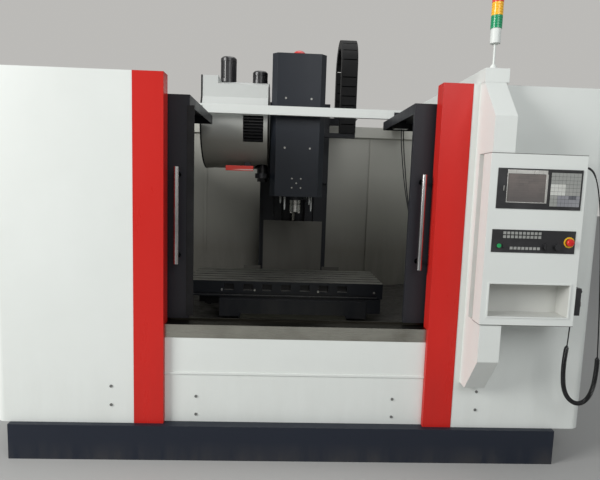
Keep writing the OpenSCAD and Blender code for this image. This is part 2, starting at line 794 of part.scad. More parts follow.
module head_cover() color(slate) difference() {
    translate([0, 0, cover_z]) linear_extrude(cover_top - cover_z) cover_plan(0);
    translate([0, 0, cover_z - 1]) linear_extrude(cover_top - cover_z + 1 - sheet_t)
        cover_plan(sheet_t);
    bar_z(112, 20, [0, spindle_y, cover_top - 10]);
}

module spindle_motor() color(charcoal) translate([0, spindle_y, cover_z + 550]) difference() {
    union() {
        translate([-110, -95, 0]) cube([220, 220, 20]);
        translate([-100, -90, 20]) cube([200, 210, 380]);
    }
    both_sides() for (i = [0 : 7]) translate([92, -70 + i * 24, 40]) cube([9, 12, 330]);
}

// Cylinder that releases the tool, with the domed cap that shows above the cover
module drawbar_cylinder() color(red) translate([0, spindle_y, cover_z + 950]) {
    cylinder(d = 170, h = 60);
    translate([0, 0, 60]) cylinder(d = 140, h = 60);
    rotate_extrude() polygon(concat([[0, 100], [50, 100], [50, 160]],
        [for (a = [0 : 15 : 90]) [50 * cos(a), 160 + 24 * sin(a)]]));
}

// Coolant and air pipes beside the spindle nose
module coolant_nozzles() color(steel) {
    top = cover_z + 30;
    for (p = [[-88, 95, 140], [-122, 130, 90], [112, 100, 95], [130, 150, 150]]) {
        bar_z(14, p[2] - 20, [p[0], p[1], top - p[2] + 20]);
        bar_z(22, 22, [p[0], p[1], top - 22]);
        translate([p[0], p[1], top - p[2]]) cylinder(d1 = 8, d2 = 14, h = 20);
    }
}

// Rotating spindle with its tapered socket
module spindle() color(steel) translate([0, spindle_y, 0]) rotate_extrude() polygon([
    [taper_d / 2, nose_z], [nose_d / 2 - 3, nose_z], [nose_d / 2, nose_z + 3],
    [nose_d / 2, nose_z + 60], [nose_d / 2 - 4, nose_z + 64], [nose_d / 2 - 4, nose_z + 70],
    [nose_d / 2, nose_z + 74], [nose_d / 2, cover_z - 32], [60, cover_z - 32], [60, cover_z + 14],
    [shaft_d / 2, cover_z + 14], [shaft_d / 2, cover_z + 545], [9, cover_z + 545],
    [9, nose_z + taper_len], [taper_d / 2 - taper_len * 7 / 48, nose_z + taper_len]]);

// Cable carrier: it rises from the head's arm, bends over and comes down to the column.
// Its links are one hollow band here, cut through between the side plates.
module carrier_band(front, low_front, low_back, wall) {
    x = [372 + wall, 372 + chain_w - wall];
    half = chain_h / 2 - 0.8 * wall;
    below = wall > 0 ? 1 : 0;
    block(x, [front - half, front + half], [low_front - below, chain_z]);
    block(x, [front + 2 * chain_r - half, front + 2 * chain_r + half], [low_back - below, chain_z]);
    translate([x[0], front + chain_r, chain_z]) rotate([0, 90, 0]) rotate([0, 0, 90])
        rotate_extrude(angle = 180) translate([chain_r - half, 0]) square([2 * half, x[1] - x[0]]);
}

module cable_carrier() color(charcoal) {
    front = 447;
    low_front = cover_z + 550;
    low_back = shelf_z;
    slot_x = [382, 362 + chain_w];
    pitch = PI * chain_r / chain_bend_links;
    difference() {
        carrier_band(front, low_front, low_back, 0);
        carrier_band(front, low_front, low_back, 10);
        for (z = [low_front + pitch : pitch : chain_z - 30])
            block(slot_x, [front - chain_h, front + chain_h], [z - 8, z]);
        for (z = [low_back + pitch : pitch : chain_z - 30])
            block(slot_x, [front + 2 * chain_r - chain_h, front + 2 * chain_r + chain_h], [z - 8, z]);
        for (i = [0 : chain_bend_links - 1]) translate([0, front + chain_r, chain_z])
            rotate([-(i + 0.5) * 180 / chain_bend_links, 0, 0])
            block(slot_x, [-chain_r - chain_h, -chain_r + chain_h], [-4, 4]);
    }
}

// Side view of the magazine's cover, shrunk by an inset
module mag_profile(inset, top) translate([mag_y, 0]) {
    translate([0, mag_z]) circle(r = mag_r - inset, $fn = 96);
    translate([-300 + inset, mag_z]) square([600 - 2 * inset, top - mag_z - inset]);
}

// Sheet cover of the magazine, with a louvred window and openings for the tool change
module magazine_cover() color(white) {
    right = hub_x + 42;
    top = mag_z + mag_lid;
    difference() {
        translate([mag_x, 0, 0]) rotate([90, 0, 90]) union() {
            linear_extrude(right - mag_x) mag_profile(0, top);
            linear_extrude(mag_step_x - mag_x) mag_profile(0, top + mag_step);
        }
        translate([mag_x + sheet_t, 0, 0]) rotate([90, 0, 90]) union() {
            linear_extrude(right - mag_x - 2 * sheet_t) mag_profile(sheet_t, top);
            linear_extrude(mag_step_x - mag_x - 2 * sheet_t) mag_profile(sheet_t, top + mag_step);
        }
        // window in the front, outlets for the pot and for the arm's shaft, rear gap
        block([-428, -270], [mag_y - mag_r - 1, mag_y - 200], [1948, 2148]);
        block([disc_x - 150, disc_x + 75], [mag_y - 60, mag_y + 60], [mag_z - mag_r - 5, mag_z - 250]);
        bar_z(130, 52, [hub_x, hub_y, mag_z - mag_r - 5]);
        block([hub_x - 150, hub_x - 40], [mag_y + 250, mag_y + mag_r + 1], [1880, 2220]);
        block([disc_x + 129, disc_x + 183], [hub_y - 91, hub_y - 59], [1740, 1815]);
    }
    for (i = [0 : 7]) {
        z = 1958 + i * 24;
        rim = sqrt(pow(mag_r - 2, 2) - pow(z - mag_z, 2));
        translate([-430, mag_y - rim, z]) rotate([-40, 0, 0]) cube([162, 2, 22]);
    }
}

// Gear box of the tool changer, with its bracket on the column
module cam_box() color(charcoal) {
    left = hub_x - 120;
    right = hub_x + 42 - sheet_t;
    difference() {
        union() {
            block([left, right], [hub_y - 80, hub_y + 330], [arm_z + 193, 2300]);
            block([left - 20, -column_w / 2 - 10], [hub_y + 320, column_front + 20],
                [1900, 2200]);
            block([left - 20, -column_w / 2], [column_front + 10, column_front + 200],
                [1900, 2200]);
            bar_x(120, 140, [disc_x + 20 + run_gap, mag_y, mag_z]);
        }
        bar_z(60 + 2 * run_gap, 160, [hub_x, hub_y, arm_z + 150]);
        bar_x(60 + 2 * run_gap, 200, [disc_x, mag_y, mag_z]);
    }
    // guard bar below the pot's outlet
    color(red) block([disc_x - 10, disc_x + 210], [60, 100], [1722, 1762]);
    block([disc_x + 130, disc_x + 182], [60, hub_y - 60], [1740, 1762]);
    block([disc_x + 130, disc_x + 182], [hub_y - 90, hub_y - 60], [1740, 1900]);
}

// Finned motor standing on the magazine's cover
module finned_motor(d, h, fins) {
    cylinder(d = d - 10, h = h - 14);
    for (i = [0 : fins - 1]) rotate([0, 0, i * 360 / fins]) translate([0, -1.5, 12])
        cube([d / 2 - 1, 3, h - 46]);
    cylinder(d = d, h = 14);
    translate([0, 0, h - 36]) cylinder(d = d, h = 24);
    translate([0, 0, h - 12]) cylinder(d1 = d, d2 = d - 24, h = 12);
    translate([0, 0, -30]) cylinder(d = d, h = 31);
}

module magazine_motors() color(charcoal) difference() {
    union() {
        translate([-577, 300, mag_z + mag_r]) finned_motor(131, 190, 24);
        translate([-316, 300, mag_z + mag_r]) finned_motor(124, 87, 20);
    }
    translate([mag_x, mag_y, mag_z]) rotate([0, 90, 0]) cylinder(r = mag_r, h = 700, $fn = 96);
    block([mag_x, mag_step_x], [mag_y - 300, mag_y + 300], [mag_z, mag_z + mag_lid + mag_step]);
}

module pot_place(i) rotate([-90 + i * 360 / pot_count, 0, 0]) children();

// Disc with its ring of tool pots, all but the one at the change position
module tool_disc() color(steel) translate([0, mag_y, mag_z]) {
    rim = pot_circle_r - 15;
    bar_x(2 * rim, 20, [disc_x, 0, 0]);
    bar_x(60, 120, [disc_x + 15, 0, 0]);
    for (i = [1 : pot_count - 1]) pot_place(i) translate([0, pot_circle_r, 0]) {
        bar_x(pot_d, pot_len, [disc_x + 1 - pot_len, 0, 0]);
        bar_x(pot_d - 16, 8, [disc_x - pot_len - 5, 0, 0]);
    }
    // ears that hold the tilting pot's pin
    for (s = [-1, 1]) difference() {
        translate([disc_x - 18, s > 0 ? pot_d / 2 + 0.6 : -pot_d / 2 - 6.6, -pot_circle_r - 12])
            cube([24, 6, 34]);
        bar_y(8 + 2 * run_gap, 100, [disc_x - 5, -50, -pot_circle_r]);
    }
}

// Tool pot that tilts down for the change, with its tapered socket
module change_pot() color(charcoal) translate([disc_x - 5, mag_y, mag_z - pot_circle_r]) {
    difference() {
        rotate([0, -90, 0]) rotate_extrude() polygon([[0, -4], [pot_d / 2, -4],
            [pot_d / 2, pot_len - 14], [pot_d / 2 - 5, pot_len - 10], [pot_d / 2 - 5, pot_len - 4],
            [taper_d / 2, pot_len - 4], [taper_d / 2 - 9.5, pot_len - 69], [0, pot_len - 69]]);
    }
    bar_y(8, pot_d + 13, [0, -pot_d / 2 - 6.5, 0]);
}

// Shaft that the tool arm turns on, with the nut below it
module arm_shaft() color(steel) translate([hub_x, hub_y, 0]) {
    translate([0, 0, arm_z - 14]) cylinder(d = 60, h = 300);
    translate([0, 0, arm_z - 28]) cylinder(d = 84, h = 28 - run_gap, $fn = 6);
}

// Twin arm with an open gripper at each end
module tool_arm() color(steel) translate([hub_x, hub_y, arm_z]) difference() {
    union() {
        linear_extrude(arm_t) {
            circle(d = 110);
            square([56, 2 * arm_r - 60], center = true);
            for (s = [-1, 1]) translate([0, s * arm_r]) circle(d = 100);
        }
        cylinder(d = 90, h = arm_t + 50);
    }
    translate([0, 0, -1]) cylinder(d = 60 + 2 * run_gap, h = arm_t + 60);
    for (s = [-1, 1]) translate([0, s * arm_r, -1]) linear_extrude(arm_t + 2) {
        circle(d = 64);
        translate([s > 0 ? 0 : -60, -26]) square([60, 52]);
    }
}

// Sheet door with a window, a roof sheet and its guide lug, left-hand form
module door() {
    x = [-door_open - door_w, -door_open];
    mid = (x[0] + x[1]) / 2;
    roof_back = beam_y - run_gap - sheet_t - 0.2;
    difference() {
        block(x, [door_y, door_back], [door_foot, door_top]);
        block([x[0] + 25, x[1] - 25], [door_y + sheet_t, door_back - sheet_t],
            [door_foot + 25, door_top - 25]);
        block([mid - window_w / 2, mid + window_w / 2], [door_y - 1, door_back + 1],
            [window_z, window_z + window_h]);
        // groove in the foot that runs on the rail
        block([x[0] - 1, x[1] + 1], [door_y + (door_t - track_w) / 2 - 1,
            door_y + (door_t + track_w) / 2 + 1], [door_foot - 1, door_foot + 6]);
    }
    difference() {
        block([mid - window_w / 2 - 20, mid + window_w / 2 + 20],
            [door_y + sheet_t - 1, door_back - sheet_t + 1], [window_z - 20, window_z + window_h + 20]);
        block([mid - window_w / 2, mid + window_w / 2], [door_y - 1, door_back + 1],
            [window_z, window_z + window_h]);
        block([mid - window_w / 2 - 12, mid + window_w / 2 + 12],
            [door_y + (door_t - pane_t) / 2, door_y + (door_t + pane_t) / 2],
            [window_z - 12, window_z + window_h + 12]);
    }
    // two wheels under the foot stand on the rail
    for (wheel = [x[0] + 100, x[1] - 100])
        bar_y(24, track_w, [wheel, door_y + (door_t - track_w) / 2, sill_top + track_h + run_gap + 12]);
    block(x, [door_back - 1, roof_back], [door_top - sheet_t, door_top]);
    block([x[1] - sheet_t, x[1]], [door_back - 1, roof_back], [door_top - roof_rim, door_top]);
    block([x[0], x[0] + sheet_t], [door_back - 1, roof_back], [door_top - roof_rim, door_top]);
    block(x, [roof_back - sheet_t, roof_back], [door_top - roof_rim, door_top]);
    for (lug = [x[0] + 80, x[1] - 140])
        block([lug, lug + 60], [roof_back - 1, beam_y - run_gap],
            [door_top - sheet_t, case_top - 20]);
}

module left_door() color(charcoal) door();
module right_door() color(charcoal) mirror([1, 0, 0]) door();

module pane() {
    mid = -door_open - door_w / 2;
    block([mid - window_w / 2 - 12 + set_gap, mid + window_w / 2 + 12 - set_gap],
        [door_y + (door_t - pane_t) / 2 + set_gap, door_y + (door_t + pane_t) / 2 - set_gap],
        [window_z - 12 + set_gap, window_z + window_h + 12 - set_gap]);
}

module left_window() color([0.6, 0.75, 0.8, 0.4]) pane();
module right_window() color([0.6, 0.75, 0.8, 0.4]) mirror([1, 0, 0]) pane();

// Tube handle on two stand-offs
module door_handle() {
    x = -door_open - 62;
    y = door_y - handle_reach;
    bar_z(handle_dia, handle_len, [x, y, handle_z]);
    for (z = [handle_z + 45, handle_z + handle_len - 45]) {
        bar_y(18, handle_reach, [x, y, z]);
        bar_y(32, 6, [x, door_y - 6, z]);
    }
}

module left_handle() color(steel) door_handle();
module right_handle() color(steel) mirror([1, 0, 0]) door_handle();

// Flat lamp under the right-hand door's roof
module work_lamp() color(charcoal) {
    z = door_top - sheet_t;
    block([690, 800], [-310, -240], [z - 62, z - 24]);
    block([730, 760], [-290, -260], [z - 25, z]);
    // clips for the cable: on the roof behind the lamp, and on the back of the door
    block([766, 790], [-238, -210], [z - 16, z]);
    block([658, 672], [door_back, -978 - 3.5 - set_gap], [1430, 1444]);
}

// Points of the lamp's cable: from the lamp forward to the clip on the door's back, and
// back up to the clip on the roof
lamp_route = [[752, -275, 2055], [752, -276, 2030], [750, -300, 1955], [742, -370, 1870],
    [728, -480, 1768], [712, -610, 1662], [698, -740, 1566], [684, -870, 1488],
    [672, -950, 1450], [665, -978, 1437], [676, -950, 1430], [692, -880, 1458],
    [708, -760, 1532], [724, -630, 1628], [742, -500, 1738], [758, -380, 1848],
    [772, -280, 1950], [778, -235, 2025], [778, -225, 2070], [778, -225, 2101]];

// Points of the handset's curly cord from the handset up to the gland, with X counted
// from the pendant's right side
cord_route = [[21, -1330, 970], [20, -1330, 930], [17, -1330, 880], [15, -1330, 830],
    [13, -1330, 790], [8, -1330, 740], [5, -1330, 680], [7, -1330, 610], [17, -1330, 545],
    [39, -1330, 495], [71, -1330, 464], [107, -1330, 453], [141, -1330, 466],
    [168, -1330, 500], [185, -1330, 555], [192, -1330, 620], [194, -1330, 680],
    [192, -1330, 726], [189, -1330, 780], [183, -1330, 880], [175, -1330, 1000],
    [165, -1330, 1130], [154, -1330, 1260], [142, -1330, 1390], [128, -1330, 1510],
    [112, -1330, 1610], [92, -1330, 1690], [70, -1330, 1740], [45, -1330, 1763],
    [23, -1330, 1767]];
coil_from = 4;
coil_to = 17;

function unit(v) = v / norm(v);
function heading(p, i) = unit(p[min(i + 1, len(p) - 1)] - p[max(i - 1, 0)]);

// Round tube along a list of points; across is the side that its rings keep facing
module hose(p, radii, sides, across) {
    ring = [for (i = [0 : len(p) - 1]) let (t = heading(p, i), n = unit(cross(t, across)))
        for (k = [0 : sides - 1]) p[i] + radii[i] * (cos(k * 360 / sides) * n
            + sin(k * 360 / sides) * cross(n, t))];
    last = (len(p) - 1) * sides;
    polyhedron(points = ring, faces = concat(
        [[for (k = [0 : sides - 1]) k]],
        [for (i = [0 : len(p) - 2], k = [0 : sides - 1]) let (a = i * sides + k,
            b = i * sides + (k + 1) % sides) [a, a + sides, b + sides, b]],
        [[for (k = [sides - 1 : -1 : 0]) last + k]]));
}

module lamp_cable() color(charcoal) hose(lamp_route, [for (p = lamp_route) 3.5], 8,
    [1, 0, 0]);

module handset_cord() color(charcoal) translate([pendant_right, 0, 0]) hose(cord_route,
    [for (i = [0 : len(cord_route) - 1]) i >= coil_from && i <= coil_to ? 10.5 : 3.5], 8,
    [0, 1, 0]);

// Pendant housing: rounded rear corner at its pivot, recesses for the fitted units
module pendant() color(white) {
    z1 = pendant_z + pendant_h;
    difference() {
        union() {
            translate([0, 0, pendant_z]) linear_extrude(pendant_h) {
                translate([pivot_x, pivot_y]) circle(r = pendant_r);
                translate([pendant_x, pendant_y]) square([pendant_w, pendant_r]);
                translate([pivot_x, pendant_y]) square([pendant_w - pendant_r, pendant_d]);
            }
            bar_z(pivot_d, pendant_h + 60, [pivot_x, pivot_y, pendant_z - 30]);
        }
        unit_block(unit_x, unit_z, -1, unit_d + 2, 0);
        unit_block(panel_x, panel_z, -1, unit_d + 2, 0);
        // storage pocket
        unit_block(pocket_x, pocket_z, -1, pendant_d - 45, 0);
    }
    // rim round the pocket
    difference() {
        unit_block(pocket_x, pocket_z, -3, 10, -8);
        unit_block(pocket_x, pocket_z, -4, 11, 0);
    }
    // gland for the cord, socket box and hook plate on the right-hand side
    difference() {
        union() {
            bar_x(26, 14, [pendant_right - 1, -1330, 1767]);
            bar_x(16, 24, [pendant_right - 1, -1330, 1767]);
        }
        bar_x(7.4, 60, [pendant_right + 10, -1330, 1767]);
    }
    block([pendant_right - 1, pendant_right + 20], [-1345, -1305], [1310, 1342]);
}

unit_x = [pendant_x + 41, pendant_x + 41 + unit_w];
unit_z = [pendant_z + 631, pendant_z + 631 + unit_h];
panel_x = [pendant_x + 33, pendant_x + 33 + panel_w];
panel_z = [pendant_z + 399, pendant_z + 399 + panel_h];
pocket_x = [pendant_x + 40, pendant_x + 480];
pocket_z = [pendant_z + 50, pendant_z + 228];

// A box in the pendant's face: its outline drawn in by an inset, from a front to a depth
module unit_block(x, z, from, depth, inset)
    block([x[0] + inset, x[1] - inset], [pendant_y + from, pendant_y + depth],
        [z[0] + inset, z[1] - inset]);

// Screen and key unit in one black bezel
module control_unit() color(charcoal) {
    keys = [unit_x[1] - 171, unit_z[0] + 15];
    difference() {
        unit_block(unit_x, unit_z, -4, unit_d, set_gap);
        block([unit_x[0] + 53, unit_x[0] + 263], [pendant_y - 5, pendant_y - 1],
            [unit_z[0] + 35, unit_z[0] + 203]);
        block([keys[0], keys[0] + 164], [pendant_y - 5, pendant_y - 2], [keys[1], keys[1] + 182]);
    }
    for (i = [0 : 7], k = [0 : 8])
        translate([keys[0] + 3 + i * 20, pendant_y - 5, keys[1] + 4 + k * 19.6])
            cube([16, 4, 15.6]);
}

estop_at = [panel_x[1] - 33, panel_z[0] + 61];
dial_at = [panel_x[0] + 292, panel_z[0] + 36];
start_at = [panel_x[0] + 37, panel_z[0] + 36];

// Black panel with rows of keys, a second dial and a stop button
module operator_panel() color(charcoal) difference() {
    union() {
        unit_block(panel_x, panel_z, -3, unit_d, set_gap);
        translate([panel_x[0], pendant_y - 5, panel_z[0]]) {
            for (i = [0 : 9], k = [0 : 1]) translate([57 + i * 21, 0, 76 + k * 20])
                cube([17, 3, 16]);
            for (i = [0 : 7]) translate([97 + i * 21, 0, 16]) cube([17, 3, 16]);
        }
        bar_y(dial_d, 18, [dial_at[0] + 60, pendant_y - 20, dial_at[1]]);
        bar_y(22, 8, [start_at[0] + 30, pendant_y - 8, start_at[1]]);
    }
    bar_y(22 + 2 * run_gap, 60, [estop_at[0], pendant_y - 10, estop_at[1]]);
    bar_y(8 + 2 * run_gap, 50, [dial_at[0], pendant_y - 10, dial_at[1]]);
    bar_y(16 + 2 * run_gap, 50, [start_at[0], pendant_y - 10, start_at[1]]);
}

// Red mushroom button with its stem
module emergency_stop() color(red) translate([estop_at[0], pendant_y, estop_at[1]])
    rotate([90, 0, 0]) rotate_extrude() polygon([[0, -30], [11, -30], [11, 10],
        [estop_d / 2 - 2, 10], [estop_d / 2, 12], [estop_d / 2, 20], [estop_d / 2 - 5, 25], [0, 27]]);

module feed_dial() color(charcoal) {
    bar_y(8, 42, [dial_at[0], pendant_y - 12, dial_at[1]]);
    bar_y(dial_d, 16, [dial_at[0], pendant_y - 20, dial_at[1]]);
    translate([dial_at[0], pendant_y - 24, dial_at[1]]) block([-3, 3], [0, 6], [-14, 14]);
}

module start_button() color("green") {
    bar_y(16, 36, [start_at[0], pendant_y - 12, start_at[1]]);
    bar_y(22, 5, [start_at[0], pendant_y - 14, start_at[1]]);
}

handset_at = [pendant_right + 1, -1330, 1045];

// Hand-held pulse generator, hung on the pendant's side
module handset() color(charcoal) translate(handset_at) difference() {
    union() {
        block([4, 38], [-42, 42], [-75, 75]);
        block([-1, 5], [-20, 20], [20, 60]);
        for (y = [-22, 22]) bar_x(18, 12, [37, y, 55]);
        bar_z(14, 24, [20, 0, -97]);
    }
    bar_z(7.4, 30, [20, 0, -100]);
    bar_x(10 + 2 * run_gap, 30, [20, 0, -15]);
}

module hand_wheel() color(steel) translate([handset_at[0] + 38, handset_at[1], handset_at[2] - 15]) {
    bar_x(10, 20, [-14, 0, 0]);
    bar_x(wheel_d, 9, [run_gap + 1, 0, 0]);
    bar_x(12, 18, [5, 0, 22]);
}

coolant_tank();
bed();
levelling_feet();
column();
left_panel();
right_panel();
rear_wall();
door_posts();
sill_panel();
sill_trim();
cross_beam();
cable_duct();
chip_trays();
pillar();
tower_stand();
tower_lenses();
cabinet();
cabinet_door();
cabinet_handle();
servo_motors();
x_screw();
y_screw();
z_screw();
way_cover_front();
way_cover_mid();
way_cover_rear();
saddle();
x_motor();
table();
head();
head_cover();
spindle_motor();
drawbar_cylinder();
coolant_nozzles();
spindle();
cable_carrier();
magazine_cover();
cam_box();
magazine_motors();
tool_disc();
change_pot();
arm_shaft();
tool_arm();
left_door();
right_door();
left_window();
right_window();
left_handle();
right_handle();
work_lamp();
lamp_cable();
pendant();
control_unit();
operator_panel();
emergency_stop();
feed_dial();
start_button();
handset();
hand_wheel();
handset_cord();
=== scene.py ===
import math
import bpy
import bmesh
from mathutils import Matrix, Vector


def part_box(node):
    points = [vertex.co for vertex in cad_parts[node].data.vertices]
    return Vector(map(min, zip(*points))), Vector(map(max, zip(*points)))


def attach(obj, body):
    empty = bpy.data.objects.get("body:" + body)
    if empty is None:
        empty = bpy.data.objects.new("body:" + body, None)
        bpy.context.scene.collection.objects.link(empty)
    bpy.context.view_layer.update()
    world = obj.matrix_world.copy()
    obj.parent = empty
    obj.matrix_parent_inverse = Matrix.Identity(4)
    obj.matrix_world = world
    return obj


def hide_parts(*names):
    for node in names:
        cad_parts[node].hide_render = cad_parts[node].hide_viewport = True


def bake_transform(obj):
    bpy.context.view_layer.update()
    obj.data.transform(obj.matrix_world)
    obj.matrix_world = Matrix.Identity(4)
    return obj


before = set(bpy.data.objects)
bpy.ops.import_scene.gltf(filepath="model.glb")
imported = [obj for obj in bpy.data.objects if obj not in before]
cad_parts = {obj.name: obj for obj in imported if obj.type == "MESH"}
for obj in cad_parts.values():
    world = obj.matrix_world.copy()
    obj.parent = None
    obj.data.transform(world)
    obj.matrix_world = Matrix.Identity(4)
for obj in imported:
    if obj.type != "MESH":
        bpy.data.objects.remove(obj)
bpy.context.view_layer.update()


# Camera. It stands a little left of the middle, about 2.8 m in front of the panels and at
# eye height, and looks slightly down at the open doors.
eye = bpy.data.objects.new("eye", bpy.data.cameras.new("eye"))
eye.location = (-0.108, -3.95, 1.638)
eye.rotation_euler = [math.radians(a) for a in (83.4624, -1.8274, -2.0028)]
eye.data.sensor_width = 36
eye.data.lens = 29.76
bpy.context.scene.collection.objects.link(eye)
bpy.context.scene.camera = eye
bpy.context.scene.view_settings.view_transform = "Standard"


# Curly cord of the handset: a rubber-sheathed cable of 6.6 mm, wound into a coil of 26 mm.
# It leaves the handset, hangs in one loop and rises straight to the gland at the top.
def shade(r, g, b):
    """A colour given as it is seen on a screen, turned into linear light."""
    def linear(c):
        c /= 255
        return c / 12.92 if c <= 0.04045 else ((c + 0.055) / 1.055) ** 2.4
    return (linear(r), linear(g), linear(b), 1)


def add(piece, body):
    bpy.context.scene.collection.objects.link(piece)
    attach(piece, body)
    return piece


def effect(name, soft=False, **inputs):
    """A shared shader group. A soft one hands over the normal of rounded edges as well."""
    group = bpy.data.node_groups.new(name, "ShaderNodeTree")
    for label, value in inputs.items():
        kind = "Float"
        if isinstance(value, tuple):
            kind = "Color" if len(value) == 4 else "Vector"
        group.interface.new_socket(label.replace("_", " "), in_out="INPUT",
                                   socket_type="NodeSocket" + kind).default_value = value
    outputs = [("Colour", "Color"), ("Roughness", "Float"), ("Height", "Float")]
    if soft:
        outputs.append(("Soft Normal", "Vector"))
    for label, kind in outputs:
        group.interface.new_socket(label, in_out="OUTPUT", socket_type="NodeSocket" + kind)
    gin, gout = group.nodes.new("NodeGroupInput"), group.nodes.new("NodeGroupOutput")
    return group, gin.outputs, gout.inputs


def fill(tree, made, inputs):
    """Links or sets the inputs of a node, each by its name or number."""
    for key, value in inputs.items():
        if isinstance(value, bpy.types.NodeSocket):
            tree.links.new(value, made[key])
        else:
            made[key].default_value = value


def node(tree, kind, inputs=None, **settings):
    made = tree.nodes.new(kind)
    for key, value in settings.items():
        setattr(made, key, value)
    fill(tree, made.inputs, inputs or {})
    return made


def mixed(tree, factor, first, second, blend="MIX"):
    made = node(tree, "ShaderNodeMix", data_type="RGBA", blend_type=blend)
    fill(tree, made.inputs, {0: factor, 6: first, 7: second})
    return made.outputs[2]


def ramped(tree, value, low, high, to_low=0.0, to_high=1.0):
    return node(tree, "ShaderNodeMapRange", {"Value": value, "From Min": low, "From Max": high,
                "To Min": to_low, "To Max": to_high}).outputs["Result"]


def calc(tree, operation, *values):
    return node(tree, "ShaderNodeMath", dict(enumerate(values)), operation=operation).outputs[0]


def vector_calc(tree, operation, first, second):
    return node(tree, "ShaderNodeVectorMath", {0: first, 1: second}, operation=operation).outputs


def noise(tree, spot, scale, detail, rough=0.5):
    return node(tree, "ShaderNodeTexNoise", {"Vector": spot, "Scale": scale, "Detail": detail,
                                             "Roughness": rough}).outputs["Fac"]


def place_in(tree):
    return node(tree, "ShaderNodeTexCoord").outputs["Object"]


def axes(tree, vector):
    return node(tree, "ShaderNodeSeparateXYZ", {"Vector": vector}).outputs


def new_material(name):
    material = bpy.data.materials.new(name)
    material.use_nodes = True
    return material, material.node_tree, material.node_tree.nodes["Principled BSDF"]


def finish_of(name, group, height, metal=0.0, varnish=0.0, specular=0.5, **values):
    """A material fed by a shared group, whose sockets are set by the values."""
    material, tree, shader = new_material(name)
    place = node(tree, "ShaderNodeGroup", node_tree=group)
    for key, value in values.items():
        entry = place.inputs[key.replace("_", " ")]
        entry.default_value = shade(*value) if entry.type == "RGBA" else value
    outs = place.outputs
    bump = node(tree, "ShaderNodeBump", {"Height": outs["Height"], "Strength": 0.6,
                                         "Distance": height})
    if "Soft Normal" in outs:
        tree.links.new(outs["Soft Normal"], bump.inputs["Normal"])
    fill(tree, shader.inputs, {
        "Base Color": outs["Colour"], "Roughness": outs["Roughness"],
        "Normal": bump.outputs["Normal"], "Metallic": metal, "Coat Weight": varnish,
        "Specular IOR Level": specular})
    return material


# Sheathing: matt rubber or plastic with a fine grain and rubbed, paler patches. The cords
# and every moulded piece wear it, each with its own colours.
sheath, gin, gout = effect("sheath", Colour=(0.02, 0.02, 0.02, 1), Rubbed=(0.06, 0.06, 0.06, 1),
                           Grain=700.0, Gloss=0.45)
spot = place_in(sheath)
grain = noise(sheath, spot, gin["Grain"], 2.0)
rubbed = ramped(sheath, noise(sheath, spot, 9.0, 4.0), 0.45, 0.75)
fill(sheath, gout, {
    "Colour": mixed(sheath, rubbed, gin["Colour"], gin["Rubbed"]),
    "Roughness": calc(sheath, "ADD", ramped(sheath, grain, 0.3, 0.7, -0.06, 0.06), gin["Gloss"]),
    "Height": grain})

cable_black = finish_of("cable_black", sheath, 0.0002, specular=0.3, Colour=(16, 16, 18),
                        Rubbed=(32, 32, 34), Grain=900.0, Gloss=0.5)


def smooth_route(points, steps):
    """Points on a smooth curve through the given ones."""
    points = [Vector(p) for p in points]
    ends = [points[0] * 2 - points[1]] + points + [points[-1] * 2 - points[-2]]
    route = []
    for i in range(1, len(ends) - 2):
        a, b, c, d = ends[i - 1:i + 3]
        for k in range(steps):
            t = k / steps
            route.append(0.5 * (2 * b + (c - a) * t + (2 * a - 5 * b + 4 * c - d) * t ** 2
                                + (3 * b - a - 3 * c + d) * t ** 3))
    return route + [points[-1]]


def run_of(route):
    return sum((b - a).length for a, b in zip(route, route[1:]))


def cable(name, route, thickness, body):
    line = bpy.data.curves.new(name, "CURVE")
    line.dimensions = "3D"
    line.bevel_depth = thickness / 2
    line.bevel_resolution = 2
    line.use_fill_caps = True
    spline = line.splines.new("POLY")
    spline.points.add(len(route) - 1)
    for place, p in zip(spline.points, route):
        place.co = (*p, 1)
    line.materials.append(cable_black)
    return add(bpy.data.objects.new(name, line), body)


def hung(*spots):
    """Points of the cord, which hangs in one plane beside the pendant."""
    return [(x, -1.33, z) for x, z in spots]


handset_lead = hung((1.506, 0.97), (1.505, 0.93), (1.502, 0.88), (1.5, 0.83), (1.498, 0.79))
coil_line = hung((1.498, 0.79), (1.493, 0.74), (1.49, 0.68), (1.492, 0.61), (1.502, 0.545),
                 (1.524, 0.495), (1.556, 0.464), (1.592, 0.453), (1.626, 0.466), (1.653, 0.5),
                 (1.67, 0.555), (1.677, 0.62), (1.679, 0.68), (1.677, 0.726))
gland_lead = hung((1.677, 0.726), (1.674, 0.78), (1.668, 0.88), (1.66, 1.0), (1.65, 1.13),
                  (1.639, 1.26), (1.627, 1.39), (1.613, 1.51), (1.597, 1.61), (1.577, 1.69),
                  (1.555, 1.74), (1.53, 1.763), (1.508, 1.767))
coil_radius = 0.0097
coil_pitch = 0.0079
turn_steps = 14
centre = smooth_route(coil_line, 24)
coil_run = run_of(centre)
last = round(coil_run / coil_pitch) * turn_steps
swelling = 2 * turn_steps
across = Vector((0, 1, 0))
wound = []
travelled, leg = 0.0, 0
for k in range(last + 1):
    goal = coil_run * k / last
    while leg < len(centre) - 2 and travelled + (centre[leg + 1] - centre[leg]).length < goal:
        travelled += (centre[leg + 1] - centre[leg]).length
        leg += 1
    onward = (centre[leg + 1] - centre[leg]).normalized()
    side = onward.cross(across).normalized()
    turn = k / turn_steps * math.tau
    swell = coil_radius * min(1, k / swelling, (last - k) / swelling)
    wound.append(centre[leg] + onward * (goal - travelled)
                 + swell * (side * math.cos(turn) + across * math.sin(turn)))
cord_path = smooth_route(handset_lead, 4)[:-1] + wound + smooth_route(gland_lead, 4)[1:]
cord_thickness = 0.0066
curly_cord = cable("curly_cord", cord_path, cord_thickness, "pendant")
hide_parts("handset_cord")


